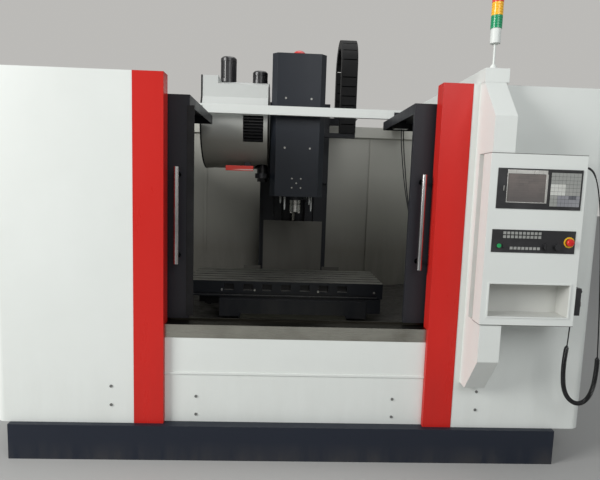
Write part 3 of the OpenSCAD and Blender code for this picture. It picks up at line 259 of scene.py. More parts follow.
# Cable of the work lamp: a plain 7 mm lead. It hangs forward from the lamp to a clip on the
# back of the right-hand door, and goes up again to a clip under the roof behind the lamp.
lamp_line = [(0.752, -0.275, 2.055), (0.752, -0.276, 2.03), (0.75, -0.3, 1.955),
             (0.742, -0.37, 1.87), (0.728, -0.48, 1.768), (0.712, -0.61, 1.662),
             (0.698, -0.74, 1.566), (0.684, -0.87, 1.488), (0.672, -0.95, 1.45),
             (0.665, -0.978, 1.437), (0.676, -0.95, 1.43), (0.692, -0.88, 1.458),
             (0.708, -0.76, 1.532), (0.724, -0.63, 1.628), (0.742, -0.5, 1.738),
             (0.758, -0.38, 1.848), (0.772, -0.28, 1.95), (0.778, -0.235, 2.025),
             (0.778, -0.225, 2.07), (0.778, -0.225, 2.101)]
lamp_path = smooth_route(lamp_line, 6)
lamp_lead = cable("lamp_lead", lamp_path, 0.007, "right_door")
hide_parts("lamp_cable")


# Floor and light: a pale plain floor, soft lamps in front and above, and an even pale
# surround, which is the backdrop as well and is seen a little brighter than it lights.
reach = 30
floor_mesh = bpy.data.meshes.new("floor")
floor_mesh.from_pydata([(-reach, -reach, 0), (reach, -reach, 0), (reach, reach, 0),
                        (-reach, reach, 0)], [], [(0, 1, 2, 3)])
floor = bpy.data.objects.new("floor", floor_mesh)
floor_paint, _, paint = new_material("floor_paint")
paint.inputs["Base Color"].default_value = (0.42, 0.42, 0.41, 1)
paint.inputs["Roughness"].default_value = 0.75
floor_mesh.materials.append(floor_paint)
bpy.context.scene.collection.objects.link(floor)

surround = bpy.data.worlds.new("surround")
surround.use_nodes = True
sky = surround.node_tree
rays = node(sky, "ShaderNodeLightPath").outputs
seen = calc(sky, "MAXIMUM", rays["Is Camera Ray"], rays["Is Glossy Ray"])
seen = calc(sky, "MAXIMUM", seen, rays["Is Transmission Ray"])
fill(sky, sky.nodes["Background"].inputs, {
    "Color": mixed(sky, seen, (0.94, 0.97, 1.0, 1), (1.0, 0.985, 0.95, 1)),
    "Strength": ramped(sky, seen, 0, 1, 0.28, 0.5)})
bpy.context.scene.world = surround


def lamp(name, place, aim, width, power, tint):
    light = bpy.data.lights.new(name, "AREA")
    light.size = width
    light.energy = power
    light.color = tint
    made = bpy.data.objects.new(name, light)
    made.location = place
    made.rotation_euler = (Vector(aim) - Vector(place)).to_track_quat("-Z", "Y").to_euler()
    bpy.context.scene.collection.objects.link(made)


lamp("window_light", (-6.6, -4.3, 3.8), (-0.2, -1.0, 1.2), 3.0, 500, (1.0, 0.995, 0.985))
lamp("room_light", (1.8, -5.6, 4.2), (0.4, -0.6, 1.1), 3.0, 102, (0.98, 0.99, 1.0))
lamp("roof_light", (0.2, 0.2, 5.0), (0.0, 0.3, 0.6), 2.6, 40, (1.0, 1.0, 1.0))


# Coolant tank: a low tray of 5 mm plate round the bed, painted in dark slate and scuffed
# along its foot. Its coat is shared by all painted pieces: soiled towards the foot, chipped
# at sharp edges and faintly uneven like orange peel.
coat, gin, gout = effect("sheet_coat", soft=True, Colour=(0.8, 0.8, 0.8, 1),
                         Soil=(0.3, 0.28, 0.25, 1), Bare=(0.5, 0.5, 0.5, 1), Soil_Top=0.6,
                         Soil_Share=0.3, Wear=0.3, Peel=420.0, Gloss=0.4, Edge=0.002)


def rounded_edges(tree, radius):
    return node(tree, "ShaderNodeBevel", {"Radius": radius}, samples=4).outputs["Normal"]


def normal_in(tree):
    return node(tree, "ShaderNodeNewGeometry").outputs["Normal"]


spot = place_in(coat)
stretched = node(coat, "ShaderNodeMapping", {"Vector": spot, "Scale": (9, 9, 1.6)})
smear = noise(coat, stretched.outputs["Vector"], 1.0, 6.0, 0.65)
how_high = calc(coat, "DIVIDE", axes(coat, spot)["Z"], gin["Soil Top"])
soiled = calc(coat, "MULTIPLY", ramped(coat, how_high, 0.0, 1.0, 1.0, 0.0),
              ramped(coat, smear, 0.38, 0.72))
soiled = calc(coat, "MULTIPLY", soiled, gin["Soil Share"])
rounded = rounded_edges(coat, gin["Edge"])
sharp = vector_calc(coat, "DOT_PRODUCT", rounded, normal_in(coat))["Value"]
chipped = calc(coat, "MULTIPLY", ramped(coat, sharp, 0.985, 0.8),
               ramped(coat, noise(coat, spot, 34.0, 5.0, 0.7), 0.5, 0.66))
chipped = calc(coat, "MULTIPLY", chipped, gin["Wear"])
uneven = mixed(coat, ramped(coat, noise(coat, spot, 1.4, 5.0, 0.6), 0.3, 0.7),
               (0.95, 0.95, 0.945, 1), (1, 1, 1, 1))
dirty = mixed(coat, soiled, mixed(coat, 1.0, gin["Colour"], uneven, "MULTIPLY"), gin["Soil"])
matt = calc(coat, "ADD", gin["Gloss"], ramped(coat, smear, 0.3, 0.7, -0.05, 0.08))
fill(coat, gout, {
    "Colour": mixed(coat, chipped, dirty, gin["Bare"]),
    "Roughness": calc(coat, "ADD", matt, soiled),
    "Height": noise(coat, spot, gin["Peel"], 2.0),
    "Soft Normal": rounded})


def wear(names, material):
    for name in names.split():
        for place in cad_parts[name].material_slots:
            place.material = material


def variant(name, finish):
    """Copies a finish. Hands over its tree, the group's inputs and the separated place."""
    made = finish.copy()
    made.name = name
    tree = made.node_tree
    group = next(n for n in tree.nodes if n.bl_idname == "ShaderNodeGroup")
    return made, tree, group.inputs, axes(tree, place_in(tree))


def within(tree, spot, box):
    """A mask that is 1 inside a box, which is given by its low and high X, Y and Z."""
    x, y, z = (calc(tree, "COMPARE", spot[axis], (low + high) / 2, (high - low) / 2)
               for axis, (low, high) in zip("XYZ", box))
    return calc(tree, "MULTIPLY", calc(tree, "MULTIPLY", x, y), z)


tank_slate = finish_of("tank_slate", coat, 0.0004, specular=0.25, Colour=(34, 39, 50),
                       Soil=(84, 80, 74), Bare=(120, 118, 112), Soil_Top=0.12, Soil_Share=0.4,
                       Wear=0.7, Peel=260.0, Gloss=0.42)
wear("coolant_tank bed", tank_slate)


# Enclosure sheets: folded 3 mm steel in light textured powder coat, screwed to the frame
# behind. The left-hand, right-hand and sill panels are separate sheets.
case_white = finish_of("case_white", coat, 0.0003, Colour=(226, 230, 226), Soil=(150, 146, 136),
                       Bare=(150, 150, 146), Soil_Top=0.7, Soil_Share=0.14, Wear=0.25,
                       Peel=520.0, Gloss=0.42)
wear("left_panel right_panel sill_panel pillar cable_duct tower_stand cabinet cabinet_door"
     " cross_beam", case_white)


# Cap screws: socket screws, one tree for every group of them. A point of the input mesh is
# a screw's seat, and the attribute "out" is the way its head faces.
def tree_of(name, **inputs):
    """A geometry tree that is fed seat points, its own numbers and one material."""
    tree = bpy.data.node_groups.new(name, "GeometryNodeTree")
    tree.interface.new_socket("Geometry", in_out="INPUT", socket_type="NodeSocketGeometry")
    for label, value in inputs.items():
        kind = "NodeSocketInt" if isinstance(value, int) else "NodeSocketFloat"
        tree.interface.new_socket(label.replace("_", " "), in_out="INPUT",
                                  socket_type=kind).default_value = value
    tree.interface.new_socket("Material", in_out="INPUT", socket_type="NodeSocketMaterial")
    tree.interface.new_socket("Geometry", in_out="OUTPUT", socket_type="NodeSocketGeometry")
    return tree, tree.nodes.new("NodeGroupInput").outputs


def spread(tree, points, instance, **settings):
    """Sets an instance on every point and makes all of them real."""
    rows = node(tree, "GeometryNodeInstanceOnPoints", {"Points": points, "Instance": instance,
                                                       **settings}).outputs[0]
    return node(tree, "GeometryNodeRealizeInstances", {"Geometry": rows}).outputs[0]


def finish_tree(tree, shape, material):
    clad = node(tree, "GeometryNodeSetMaterial", {"Geometry": shape, "Material": material})
    tree.links.new(clad.outputs[0], tree.nodes.new("NodeGroupOutput").inputs[0])


def rod(tree, sides, radius, depth):
    return node(tree, "GeometryNodeMeshCylinder", {"Vertices": sides, "Radius": radius,
                "Depth": depth}, fill_type="NGON").outputs["Mesh"]


def combined(tree, **parts):
    return node(tree, "ShaderNodeCombineXYZ", parts).outputs[0]


def moved(tree, shape, **change):
    return node(tree, "GeometryNodeTransform", {"Geometry": shape, **change}).outputs[0]


screw_tree, gin = tree_of("cap_screws", Head_Radius=0.006, Head_Height=0.004)
tall, key_share = gin["Head Height"], 0.52
head = moved(screw_tree, rod(screw_tree, 20, gin["Head Radius"], tall),
             Translation=combined(screw_tree, Z=calc(screw_tree, "MULTIPLY", tall, 0.5)))
key_radius = calc(screw_tree, "MULTIPLY", gin["Head Radius"], key_share)
key = moved(screw_tree, rod(screw_tree, 6, key_radius, tall),
            Translation=combined(screw_tree, Z=tall))
cut = node(screw_tree, "GeometryNodeMeshBoolean", {"Mesh 1": head, "Mesh 2": key},
           operation="DIFFERENCE", solver="EXACT").outputs["Mesh"]
facing = node(screw_tree, "GeometryNodeInputNamedAttribute", {"Name": "out"},
              data_type="FLOAT_VECTOR").outputs[0]
aim = node(screw_tree, "FunctionNodeAlignRotationToVector", {"Vector": facing},
           axis="Z").outputs[0]
finish_tree(screw_tree, spread(screw_tree, gin["Geometry"], cut, Rotation=aim), gin["Material"])


def grown(name, body, slot, tree, seats, **values):
    """A plain mesh grown by a tree from seat points, each a place and the way it faces."""
    mesh = bpy.data.meshes.new(name + "_seats")
    mesh.from_pydata([p for p, _ in seats], [], [])
    out = mesh.attributes.new("out", "FLOAT_VECTOR", "POINT")
    for i, (_, way) in enumerate(seats):
        out.data[i].vector = way
    seed = bpy.data.objects.new(name + "_seats", mesh)
    bpy.context.scene.collection.objects.link(seed)
    grow = seed.modifiers.new("grow", "NODES")
    grow.node_group = tree
    for item in tree.interface.items_tree:
        label = item.name.replace(" ", "_")
        if item.in_out == "INPUT" and label in values:
            grow[item.identifier] = values[label]
    bpy.context.view_layer.update()
    look = seed.evaluated_get(bpy.context.evaluated_depsgraph_get())
    made = bpy.data.objects.new(name, bpy.data.meshes.new_from_object(look))
    bpy.data.objects.remove(seed)
    add(made, body)


def screws(name, body, seats, radius, height, material):
    grown(name, body, "ground_steel", screw_tree, seats, Head_Radius=radius,
          Head_Height=height, Material=material)


# Bare metal: a drawn or ground grain along one way, with duller blotches. Each metal
# stretches the grain by its own scale.
metal, gin, gout = effect("drawn_metal", soft=True, Colour=(0.6, 0.6, 0.6, 1),
                          Dull=(0.4, 0.4, 0.38, 1), Grain_Scale=(4, 200, 200), Gloss=0.3,
                          Blotches=6.0, Edge=0.001)
spot = place_in(metal)
drawn = vector_calc(metal, "MULTIPLY", spot, gin["Grain Scale"])[0]
lines = noise(metal, drawn, 1.0, 4.0, 0.6)
dull = calc(metal, "MULTIPLY", ramped(metal, noise(metal, spot, gin["Blotches"], 5.0), 0.4, 0.75),
            ramped(metal, lines, 0.35, 0.7, 0.3, 1.0))
fill(metal, gout, {
    "Colour": mixed(metal, dull, gin["Colour"], gin["Dull"]),
    "Roughness": calc(metal, "ADD", gin["Gloss"], ramped(metal, lines, 0.3, 0.7, -0.08, 0.12)),
    "Height": lines,
    "Soft Normal": rounded_edges(metal, gin["Edge"])})

dull_zinc = finish_of("dull_zinc", metal, 0.0001, metal=0.4, Colour=(128, 130, 128),
                      Dull=(104, 104, 100), Grain_Scale=(300, 300, 300), Gloss=0.5)
black_oxide = finish_of("black_oxide", metal, 0.0001, metal=0.7, Colour=(46, 46, 48),
                        Dull=(70, 68, 64), Grain_Scale=(300, 300, 300), Gloss=0.35)
ahead, behind = (0, -1, 0), (0, 1, 0)
panel_front, sill_front = -1.15, -1.12
panel_seats = [(x, panel_front, z) for x, heights in ((-1.07, (0.434, 0.321)),
                                                      (1.082, (0.435, 0.322))) for z in heights]
panel_seats += [(x, sill_front, z) for x in (-0.585, 0.585) for z in (0.367, 0.256)]
screws("panel_screws", "frame", [(p, ahead) for p in panel_seats], 0.0085, 0.004, dull_zinc)


# Door posts: folded boxes in red powder coat, one on each side of the opening, a little
# glossier than the white sheets beside them.
post_red = finish_of("post_red", coat, 0.0003, specular=0.25, Colour=(202, 40, 34),
                     Soil=(110, 40, 34), Bare=(170, 120, 110), Soil_Top=0.8, Soil_Share=0.3,
                     Wear=0.35, Peel=480.0, Gloss=0.3)
wear("door_posts", post_red)


# Sill and way cover: brushed stainless steel. The sill has a strip in front and a ledge
# behind it painted darker, with the rail that carries both doors.
stainless = finish_of("stainless", metal, 0.0002, metal=1.0, Colour=(149, 147, 127),
                      Dull=(92, 89, 72), Grain_Scale=(3, 260, 260), Gloss=0.3, Blotches=5.0)
wear("way_cover_front way_cover_mid way_cover_rear", stainless)
sill_steel, tree, paint, spot = variant("sill_steel", stainless)
ledge = within(tree, spot, ((-2.0, 2.0), (-1.1165, -0.8), (0.7, 0.9)))
fill(tree, paint, {"Colour": mixed(tree, ledge, shade(168, 167, 158), shade(58, 56, 50)),
                   "Dull": mixed(tree, ledge, shade(122, 120, 110), shade(40, 38, 34))})
wear("sill_trim", sill_steel)


# Inside of the enclosure: grey sheet walls, darker towards the bottom, and sloping floors.
# Below the column the sheet carries painted shade, the rear wall's outside is clean.
inner_grey = finish_of("inner_grey", coat, 0.0004, Colour=(196, 195, 186), Soil=(60, 58, 52),
                       Bare=(130, 128, 122), Soil_Top=1.3, Soil_Share=0.55, Wear=0.3,
                       Peel=300.0, Gloss=0.5)
wall_low, wall_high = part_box("rear_wall")
wall_sheet, tree, paint, spot = variant("wall_sheet", inner_grey)
turned_back = calc(tree, "GREATER_THAN", axes(tree, normal_in(tree))["Y"], 0.5)
outside = calc(tree, "MULTIPLY", turned_back,
               calc(tree, "GREATER_THAN", spot["Y"], wall_high.y - 0.001))
# The walls are painted darker towards the bottom.
darker_low_and_shade = mixed(tree, ramped(tree, spot["Z"], 1.75, 0.95), shade(200, 199, 190),
               shade(138, 135, 126))
# Painted shade: the sheet under the column is painted darker where the head's shadow falls.
shade_below_column = within(tree, spot, ((-0.6, 0.6), (wall_low.y - 0.01, wall_low.y + 0.1),
                                   (0.5, 1.3)))
darker_low_and_shade = mixed(tree, shade_below_column, darker_low_and_shade, shade(100, 98, 91))
fill(tree, paint, {"Colour": mixed(tree, outside, darker_low_and_shade, shade(222, 225, 221)),
                   "Soil Share": ramped(tree, outside, 0, 1, 0.55, 0.1)})
wear("rear_wall", wall_sheet)
tray_grey = finish_of("tray_grey", coat, 0.0005, Colour=(58, 56, 53), Soil=(40, 38, 34),
                      Bare=(120, 118, 110), Soil_Top=1.2, Soil_Share=0.7, Wear=0.5,
                      Peel=240.0, Gloss=0.42)
wear("chip_trays", tray_grey)


# Sliding doors: folded sheet in dark grey enamel, with a glazed window, a roof sheet and
# a bright tube handle on black brackets.
door_dark = finish_of("door_dark", coat, 0.0003, specular=0.25, Colour=(38, 39, 44),
                      Soil=(80, 78, 74), Bare=(150, 150, 146), Soil_Top=1.3, Soil_Share=0.3,
                      Wear=0.5, Peel=400.0, Gloss=0.4)
wear("left_door right_door", door_dark)
bright_tube = finish_of("bright_tube", metal, 0.0001, metal=1.0, Colour=(196, 196, 194),
                        Dull=(150, 150, 148), Grain_Scale=(260, 260, 6), Gloss=0.2)
handle_tube, tree, paint, spot = variant("handle_tube", bright_tube)
bracket_front = -1.0705
bracket = calc(tree, "GREATER_THAN", spot["Y"], bracket_front)
for key, tone in (("Colour", 196), ("Dull", 150)):
    tree.links.new(mixed(tree, bracket, shade(tone, tone, tone), shade(26, 26, 28)), paint[key])
wear("left_handle right_handle", handle_tube)

pane_clear, tree, glass = new_material("pane_clear")
film = noise(tree, place_in(tree), 5.0, 6.0)
fill(tree, glass.inputs, {
    "Base Color": mixed(tree, ramped(tree, film, 0.35, 0.7), shade(214, 224, 224),
                        shade(186, 196, 194)),
    "Roughness": ramped(tree, film, 0.3, 0.7, 0.04, 0.16),
    "Transmission Weight": 1.0, "IOR": 1.45})
wear("left_window right_window", pane_clear)


# Castings: column, saddle and head in dark enamel over rough cast iron, with the ground or
# blackened steel of the parts they carry.
casting = finish_of("casting", coat, 0.0012, specular=0.3, Colour=(34, 36, 41),
                    Soil=(92, 88, 80), Bare=(120, 118, 112), Soil_Top=1.0, Soil_Share=0.4,
                    Wear=0.5, Peel=120.0, Gloss=0.45, Edge=0.006)
wear("column saddle head", casting)
ground_steel = finish_of("ground_steel", metal, 0.0001, metal=1.0, Colour=(176, 176, 172),
                         Dull=(120, 118, 112), Grain_Scale=(120, 120, 120), Gloss=0.28)
wear("levelling_feet spindle coolant_nozzles", ground_steel)
wear("arm_shaft tool_arm", black_oxide)


# Table: cast iron with a film of oil, cut by five T-slots. Its top is ground and bare, the
# sides are enamelled dark and the pockets in front carry painted shade, almost black.
table_iron = finish_of("table_iron", metal, 0.0003, metal=0.75, Colour=(150, 150, 144),
                       Dull=(104, 102, 94), Grain_Scale=(12, 180, 120), Gloss=0.38,
                       Blotches=7.0, Edge=0.002)
wear("table tool_disc", table_iron)
table_low, table_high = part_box("table")
tree = table_iron.node_tree
iron = tree.nodes["Principled BSDF"]
bare_colour = iron.inputs["Base Color"].links[0].from_socket
is_top = calc(tree, "GREATER_THAN", axes(tree, normal_in(tree))["Z"], 0.5)
enamel = node(tree, "ShaderNodeGroup", {
    "Colour": shade(22, 25, 31), "Soil": shade(42, 40, 38), "Bare": shade(130, 128, 122),
    "Soil Top": 1.1, "Soil Share": 0.3, "Wear": 0.8, "Gloss": 0.36, "Edge": 0.003},
    node_tree=coat).outputs["Colour"]
# Painted shade: the inner faces of the pockets in the table's front are painted almost black.
recess_shade = within(tree, axes(tree, place_in(tree)), (
    (-2.0, 2.0), (table_low.y + 0.0008, table_low.y + 0.04),
    (table_high.z - 0.072, table_high.z - 0.022)))
sides = mixed(tree, recess_shade, enamel, shade(6, 6, 8))
fill(tree, iron.inputs, {"Base Color": mixed(tree, is_top, sides, bare_colour),
                         "Metallic": ramped(tree, is_top, 0, 1, 0.0, 0.8)})


# Motors: gloss black enamel on finned or square aluminium bodies, for the three axes, the
# spindle and the tool magazine.
motor_black = finish_of("motor_black", coat, 0.0002, varnish=0.15, Colour=(20, 20, 24),
                        Soil=(60, 58, 56), Bare=(110, 110, 108), Soil_Top=0.5, Soil_Share=0.3,
                        Wear=0.3, Peel=300.0, Gloss=0.34)
wear("servo_motors x_motor spindle_motor magazine_motors", motor_black)


# Head cover: folded sheet in dark slate round the spindle motor, and the red enamel of the
# tool release cylinder above it.
cover_slate = finish_of("cover_slate", coat, 0.0003, specular=0.3, Colour=(27, 32, 40),
                        Soil=(50, 50, 52), Bare=(130, 130, 130), Soil_Top=2.0,
                        Soil_Share=0.25, Wear=0.5, Peel=360.0, Gloss=0.34)
wear("head_cover", cover_slate)
dome_red = finish_of("dome_red", coat, 0.0002, varnish=0.3, Colour=(200, 40, 36),
                     Soil=(110, 60, 50), Gloss=0.3)
wear("drawbar_cylinder", dome_red)


# Magazine cover: white sheet painted darker below as painted shade, with painted shade inside
# its louvred window. A black rubber seal goes round the rim of the drum's outer end.
drum_white, tree, paint, spot = variant("drum_white", case_white)
# Painted shade: the drum darkens downwards, where it faces into the dim inside.
drum_paint_shaded = mixed(tree, ramped(tree, spot["Z"], 2.2, 1.95), shade(202, 205, 202),
                   shade(146, 144, 136))
# Painted shade: the louvred window is painted near black inside.
louvre_shade = within(tree, spot, ((-0.4276, -0.2704), (-1.0, 0.075), (1.9484, 2.1476)))
tree.links.new(mixed(tree, louvre_shade, drum_paint_shaded, shade(22, 22, 24)), paint["Colour"])
wear("magazine_cover", drum_white)


def block(bm, low, high, edge):
    made = bmesh.ops.create_cube(bm, size=1.0)["verts"]
    for v in made:
        for i in range(3):
            v.co[i] = low[i] + (v.co[i] + 0.5) * (high[i] - low[i])
    edges = {e for v in made for e in v.link_edges}
    bmesh.ops.bevel(bm, geom=list(edges), offset=edge, segments=2, affect="EDGES", profile=0.7)


def bar(bm, start, end, radius, end_radius, sides):
    start, end = Vector(start), Vector(end)
    turn = (end - start).normalized().to_track_quat("Z", "Y").to_matrix().to_4x4()
    turn.translation = (start + end) / 2
    bmesh.ops.create_cone(bm, cap_ends=True, segments=sides, radius1=radius,
                          radius2=end_radius, depth=(end - start).length, matrix=turn)


def piece(name, body, slot, material, build, smooth=False):
    bm = bmesh.new()
    build(bm)
    mesh = bpy.data.meshes.new(name)
    bm.to_mesh(mesh)
    bm.free()
    mesh.materials.append(material)
    if smooth:
        for face in mesh.polygons:
            face.use_smooth = True
        mesh.set_sharp_from_angle(angle=math.radians(35))
    return add(bpy.data.objects.new(name, mesh), body)


def strip(name, body, slot, material, low, high, edge):
    """A straight strip or plate with its edges broken."""
    piece(name, body, slot, material, lambda bm: block(bm, low, high, edge))


def tube(bm, rows, closed=False):
    """Faces between neighbouring rows of four corners, with the ends of an open run shut."""
    for a, b in zip(rows, rows[1:] + rows[:closed]):
        for k in range(4):
            bm.faces.new((a[k], a[(k + 1) % 4], b[(k + 1) % 4], b[k]))
    if not closed:
        bm.faces.new(rows[0])
        bm.faces.new(list(reversed(rows[-1])))
    bmesh.ops.recalc_face_normals(bm, faces=list(bm.faces))


def drum_seal(bm):
    axis_y, axis_z, radius, front, top = 0.35, 2.1, 0.355, -0.3, 0.352
    outer, inner, proud, sunk = -0.7625, -0.751, 0.0025, -0.004
    rim = [(front, top), (front, math.sqrt(radius ** 2 - front ** 2))]
    rim += [(radius * math.cos(math.radians(a)), radius * math.sin(math.radians(a)))
            for a in range(150, 390, 6)]
    rows = []
    for k, (y, z) in enumerate(rim):
        out = Vector((0, -1, 0)) if k < 2 else Vector((0, y, z)).normalized()
        at = Vector((0, axis_y + y, axis_z + z))
        rows.append([bm.verts.new(at + out * lift + Vector((x, 0, 0))) for x, lift in
                     ((outer, sunk), (outer, proud), (inner, proud), (inner, 0.0))])
    tube(bm, rows)


piece("drum_seal", "frame", "cable_black", cable_black, drum_seal, smooth=True)


# Joint of the rear wall: a folded cover strip over the seam behind the magazine, laid on
# the inner face of the sheet.
sheet_thickness, strip_height = 0.003, 0.008
seam_y = wall_high.y - sheet_thickness
strip("seam_strip", "frame", "interior_grey", wall_sheet, (-0.905, seam_y - strip_height, 0.9),
      (-0.872, seam_y, 2.13), 0.0015)


# Sealing strip: black rubber clipped over the leading edge of the left-hand door, which
# laps over the other door when both are shut.
strip("door_seal", "left_door", "cable_black", cable_black, (-0.664, -1.0285, 0.83),
      (-0.622, -1.0245, 2.06), 0.0012)


# Small moulded parts: black plastic with a fine grain, red and green push buttons. The
# hand wheel beside them is bright metal.
black_plastic = finish_of("black_plastic", sheath, 0.0002, Colour=(34, 34, 36),
                          Rubbed=(54, 54, 56), Grain=600.0, Gloss=0.42)
wear("change_pot work_lamp feed_dial handset control_unit operator_panel cabinet_handle",
     black_plastic)


def moulded(name, colour, rubbed, gloss=0.4, grain=300.0):
    return finish_of(name, sheath, 0.0001, Colour=colour, Rubbed=rubbed, Grain=grain,
                     Gloss=gloss)


wear("emergency_stop", moulded("button_red", (206, 30, 28), (222, 60, 52), 0.25))
wear("start_button", moulded("button_green", (30, 150, 84), (60, 176, 110), 0.25))
wear("hand_wheel", bright_tube)


# Cable carrier: links of black plastic between the fixed shelf on the column and the
# head's arm, so one end travels with the head.
carrier_black = finish_of("carrier_black", sheath, 0.0002, specular=0.2, Colour=(13, 13, 14),
                          Rubbed=(24, 24, 25), Grain=500.0, Gloss=0.6)
links = bmesh.new()
links.from_mesh(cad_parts["cable_carrier"].data)
bmesh.ops.remove_doubles(links, verts=list(links.verts), dist=1e-5)
chain_mesh = bpy.data.meshes.new("carrier_chain")
links.to_mesh(chain_mesh)
links.free()
chain_mesh.materials.clear()
chain_mesh.materials.append(carrier_black)
carrier_chain = bpy.data.objects.new("carrier_chain", chain_mesh)
bpy.context.scene.collection.objects.link(carrier_chain)
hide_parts("cable_carrier")
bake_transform(carrier_chain)


# Signal tower: three ribbed lenses, green below, amber and red above, with a dark cap. The
# tints change at set heights above the foot of the stack.
lens_stack, tree, lens = new_material("lens_stack")
spot = place_in(tree)
tall = axes(tree, spot)["Z"]
lens_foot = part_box("tower_lenses")[0].z
stack = shade(24, 150, 100)
for foot, tint in ((0.0685, (250, 190, 50)), (0.1375, (226, 70, 60)), (0.2065, (60, 60, 62))):
    stack = mixed(tree, calc(tree, "GREATER_THAN", tall, lens_foot + foot), stack, shade(*tint))
ribs = node(tree, "ShaderNodeTexWave", {"Vector": spot, "Scale": 60.0}, bands_direction="Z")
fill(tree, lens.inputs, {
    "Base Color": stack, "Roughness": ramped(tree, ribs.outputs["Fac"], 0, 1, 0.12, 0.26)})
wear("tower_lenses", lens_stack)


# Fasteners of the head cover, the table and the sheets: the same cap screws in bright or
# dull zinc.
bright_zinc = finish_of("bright_zinc", metal, 0.0001, metal=1.0, Colour=(170, 170, 166),
                        Dull=(120, 118, 112), Grain_Scale=(300, 300, 300), Gloss=0.36)
trim_silver = finish_of("trim_silver", metal, 0.0001, metal=0.9, Colour=(214, 214, 210),
                        Dull=(160, 160, 154), Grain_Scale=(200, 4, 4), Gloss=0.32)
cover_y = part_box("head_cover")[0].y
screws("cover_screws", "head", [((x, cover_y, z), ahead) for x in (-0.099, 0.099)
                                for z in (1.91, 2.29)], 0.0075, 0.005, bright_zinc)
nose_seats = [(x, z) for x in (-0.035, 0.035) for z in (1.6, 1.672)] + [(0, 1.636)]
screws("nose_screws", "head", [((x, cover_y, z), ahead) for x, z in nose_seats],
       0.006, 0.004, bright_zinc)
side_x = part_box("right_panel")[1].x
rows = (0.24, 1.2, 2.17)
wall_seats = [((s * side_x, y, z), (s, 0, 0)) for s in (-1, 1)
              for y in (-0.98, -0.35, 0.35, 0.98) for z in rows]
wall_seats += [((s * x, wall_high.y, z), behind) for s in (-1, 1) for x in (0.78, 1.2, 1.64)
               for z in rows]
screws("wall_screws", "frame", wall_seats, 0.009, 0.0045, dull_zinc)
screws("table_screws", "table", [((x, table_low.y, 0.811), ahead)
                                 for x in (-0.55, -0.3, 0.189, 0.624)], 0.008, 0.006, trim_silver)


# Control pendant: the same white sheet as the pillar, with painted shade greying the inside of
# its storage pocket and painted shade in the gap where it meets the pillar above and below.
pendant_white, tree, paint, spot = variant("pendant_white", case_white)
# Painted shade: the faces inside the storage pocket are painted greyer.
recess_shade = within(tree, spot, ((1.0, 1.46), (-1.3805, -1.2), (0.955, 1.143)))
sheet_and_shade = mixed(tree, recess_shade, shade(226, 230, 226), shade(204, 205, 200))
# Painted shade: a dark line at the top and at the foot, where the gap to the pillar lies in
# shade.
for shaded_gap_z, sign in ((1.8255, "GREATER_THAN"), (0.9135, "LESS_THAN")):
    sheet_and_shade = mixed(tree, calc(tree, sign, spot["Z"], shaded_gap_z), sheet_and_shade, shade(96, 96, 92))
tree.links.new(sheet_and_shade, paint["Colour"])
wear("pendant", pendant_white)


# Screen and keys: a glazed display behind a black bezel, and pale key caps in rows. Both
# are set into the front of the pendant.
screen_glow, tree, face = new_material("screen_glow")
spot = place_in(tree)
upright = node(tree, "ShaderNodeVectorRotate", {"Vector": spot, "Angle": math.pi / 2},
               rotation_type="X_AXIS").outputs["Vector"]
cells = node(tree, "ShaderNodeTexBrick", {
    "Vector": upright, "Color1": shade(98, 93, 90), "Color2": shade(86, 82, 81),
    "Mortar": shade(72, 70, 70), "Scale": 18.0, "Mortar Size": 0.012, "Brick Width": 0.9,
    "Row Height": 0.22}).outputs["Color"]
haze = ramped(tree, noise(tree, spot, 14.0, 6.0), 0.35, 0.7, 0.25, 0.8)
picture = mixed(tree, haze, cells, shade(112, 103, 99))
shadow = ramped(tree, axes(tree, spot)["Z"], 1.68, 1.6, 0.0, 0.6)
picture = mixed(tree, shadow, picture, shade(70, 68, 68))
fill(tree, face.inputs, {"Base Color": picture, "Emission Color": picture,
                         "Emission Strength": 0.12, "Roughness": 0.18, "Coat Weight": 0.6})
bezel_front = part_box("control_unit")[0].y
left, right, foot, top = 1.0645, 1.2665, 1.5765, 1.7235
strip("screen_glass", "pendant", "unit_black", screen_glow, (left, bezel_front + 0.0022, foot),
      (right, bezel_front + 0.0039, top), 0.0005)


def screen_rim(bm):
    y0, y1 = bezel_front - 0.0002, bezel_front + 0.003
    outer_left, outer_right, outer_top = 1.0605, 1.2775, 1.7435
    block(bm, (left, y0, top), (1.2735, y1, outer_top), 0.0008)
    block(bm, (outer_left, y0, 1.5725), (outer_right, y1, foot), 0.0008)
    block(bm, (outer_left, y0, foot), (left, y1, outer_top), 0.0008)
    block(bm, (right, y0, foot), (outer_right, y1, top), 0.0008)
    block(bm, (1.0435, y0 - 0.001, 1.634), (1.0465, y1 - 0.001, 1.66), 0.0006)


piece("screen_rim", "pendant", "unit_black", trim_silver, screen_rim)

key_grey = moulded("key_grey", (150, 152, 148), (168, 168, 164))
key_dark = moulded("key_dark", (84, 86, 92), (110, 112, 116))
key_white = moulded("key_white", (206, 208, 202), (190, 190, 184))
key_lilac = moulded("key_lilac", (136, 137, 142), (148, 149, 153))
key_tree, gin = tree_of("key_caps", Cap_Width=0.0182, Cap_Height=0.0178, Cap_Depth=0.0015)
cap = node(key_tree, "GeometryNodeMeshCube", {"Size": combined(
    key_tree, X=gin["Cap Width"], Y=gin["Cap Depth"], Z=gin["Cap Height"])}).outputs["Mesh"]
finish_tree(key_tree, spread(key_tree, gin["Geometry"], cap), gin["Material"])
key_y = bezel_front - 0.0009
key_pitch_x, key_pitch_z = 0.02, 0.0196
keys = [(1.303 + i * key_pitch_x, 1.5678 + k * key_pitch_z, i, k)
        for i in range(8) for k in range(9)]


def key_kind(i, k):
    if 5 <= i <= 6 and k == 2:
        return key_dark
    if i < 4 and 3 <= k < 6:
        return key_white
    return key_lilac if i > 1 and k < 3 else key_grey


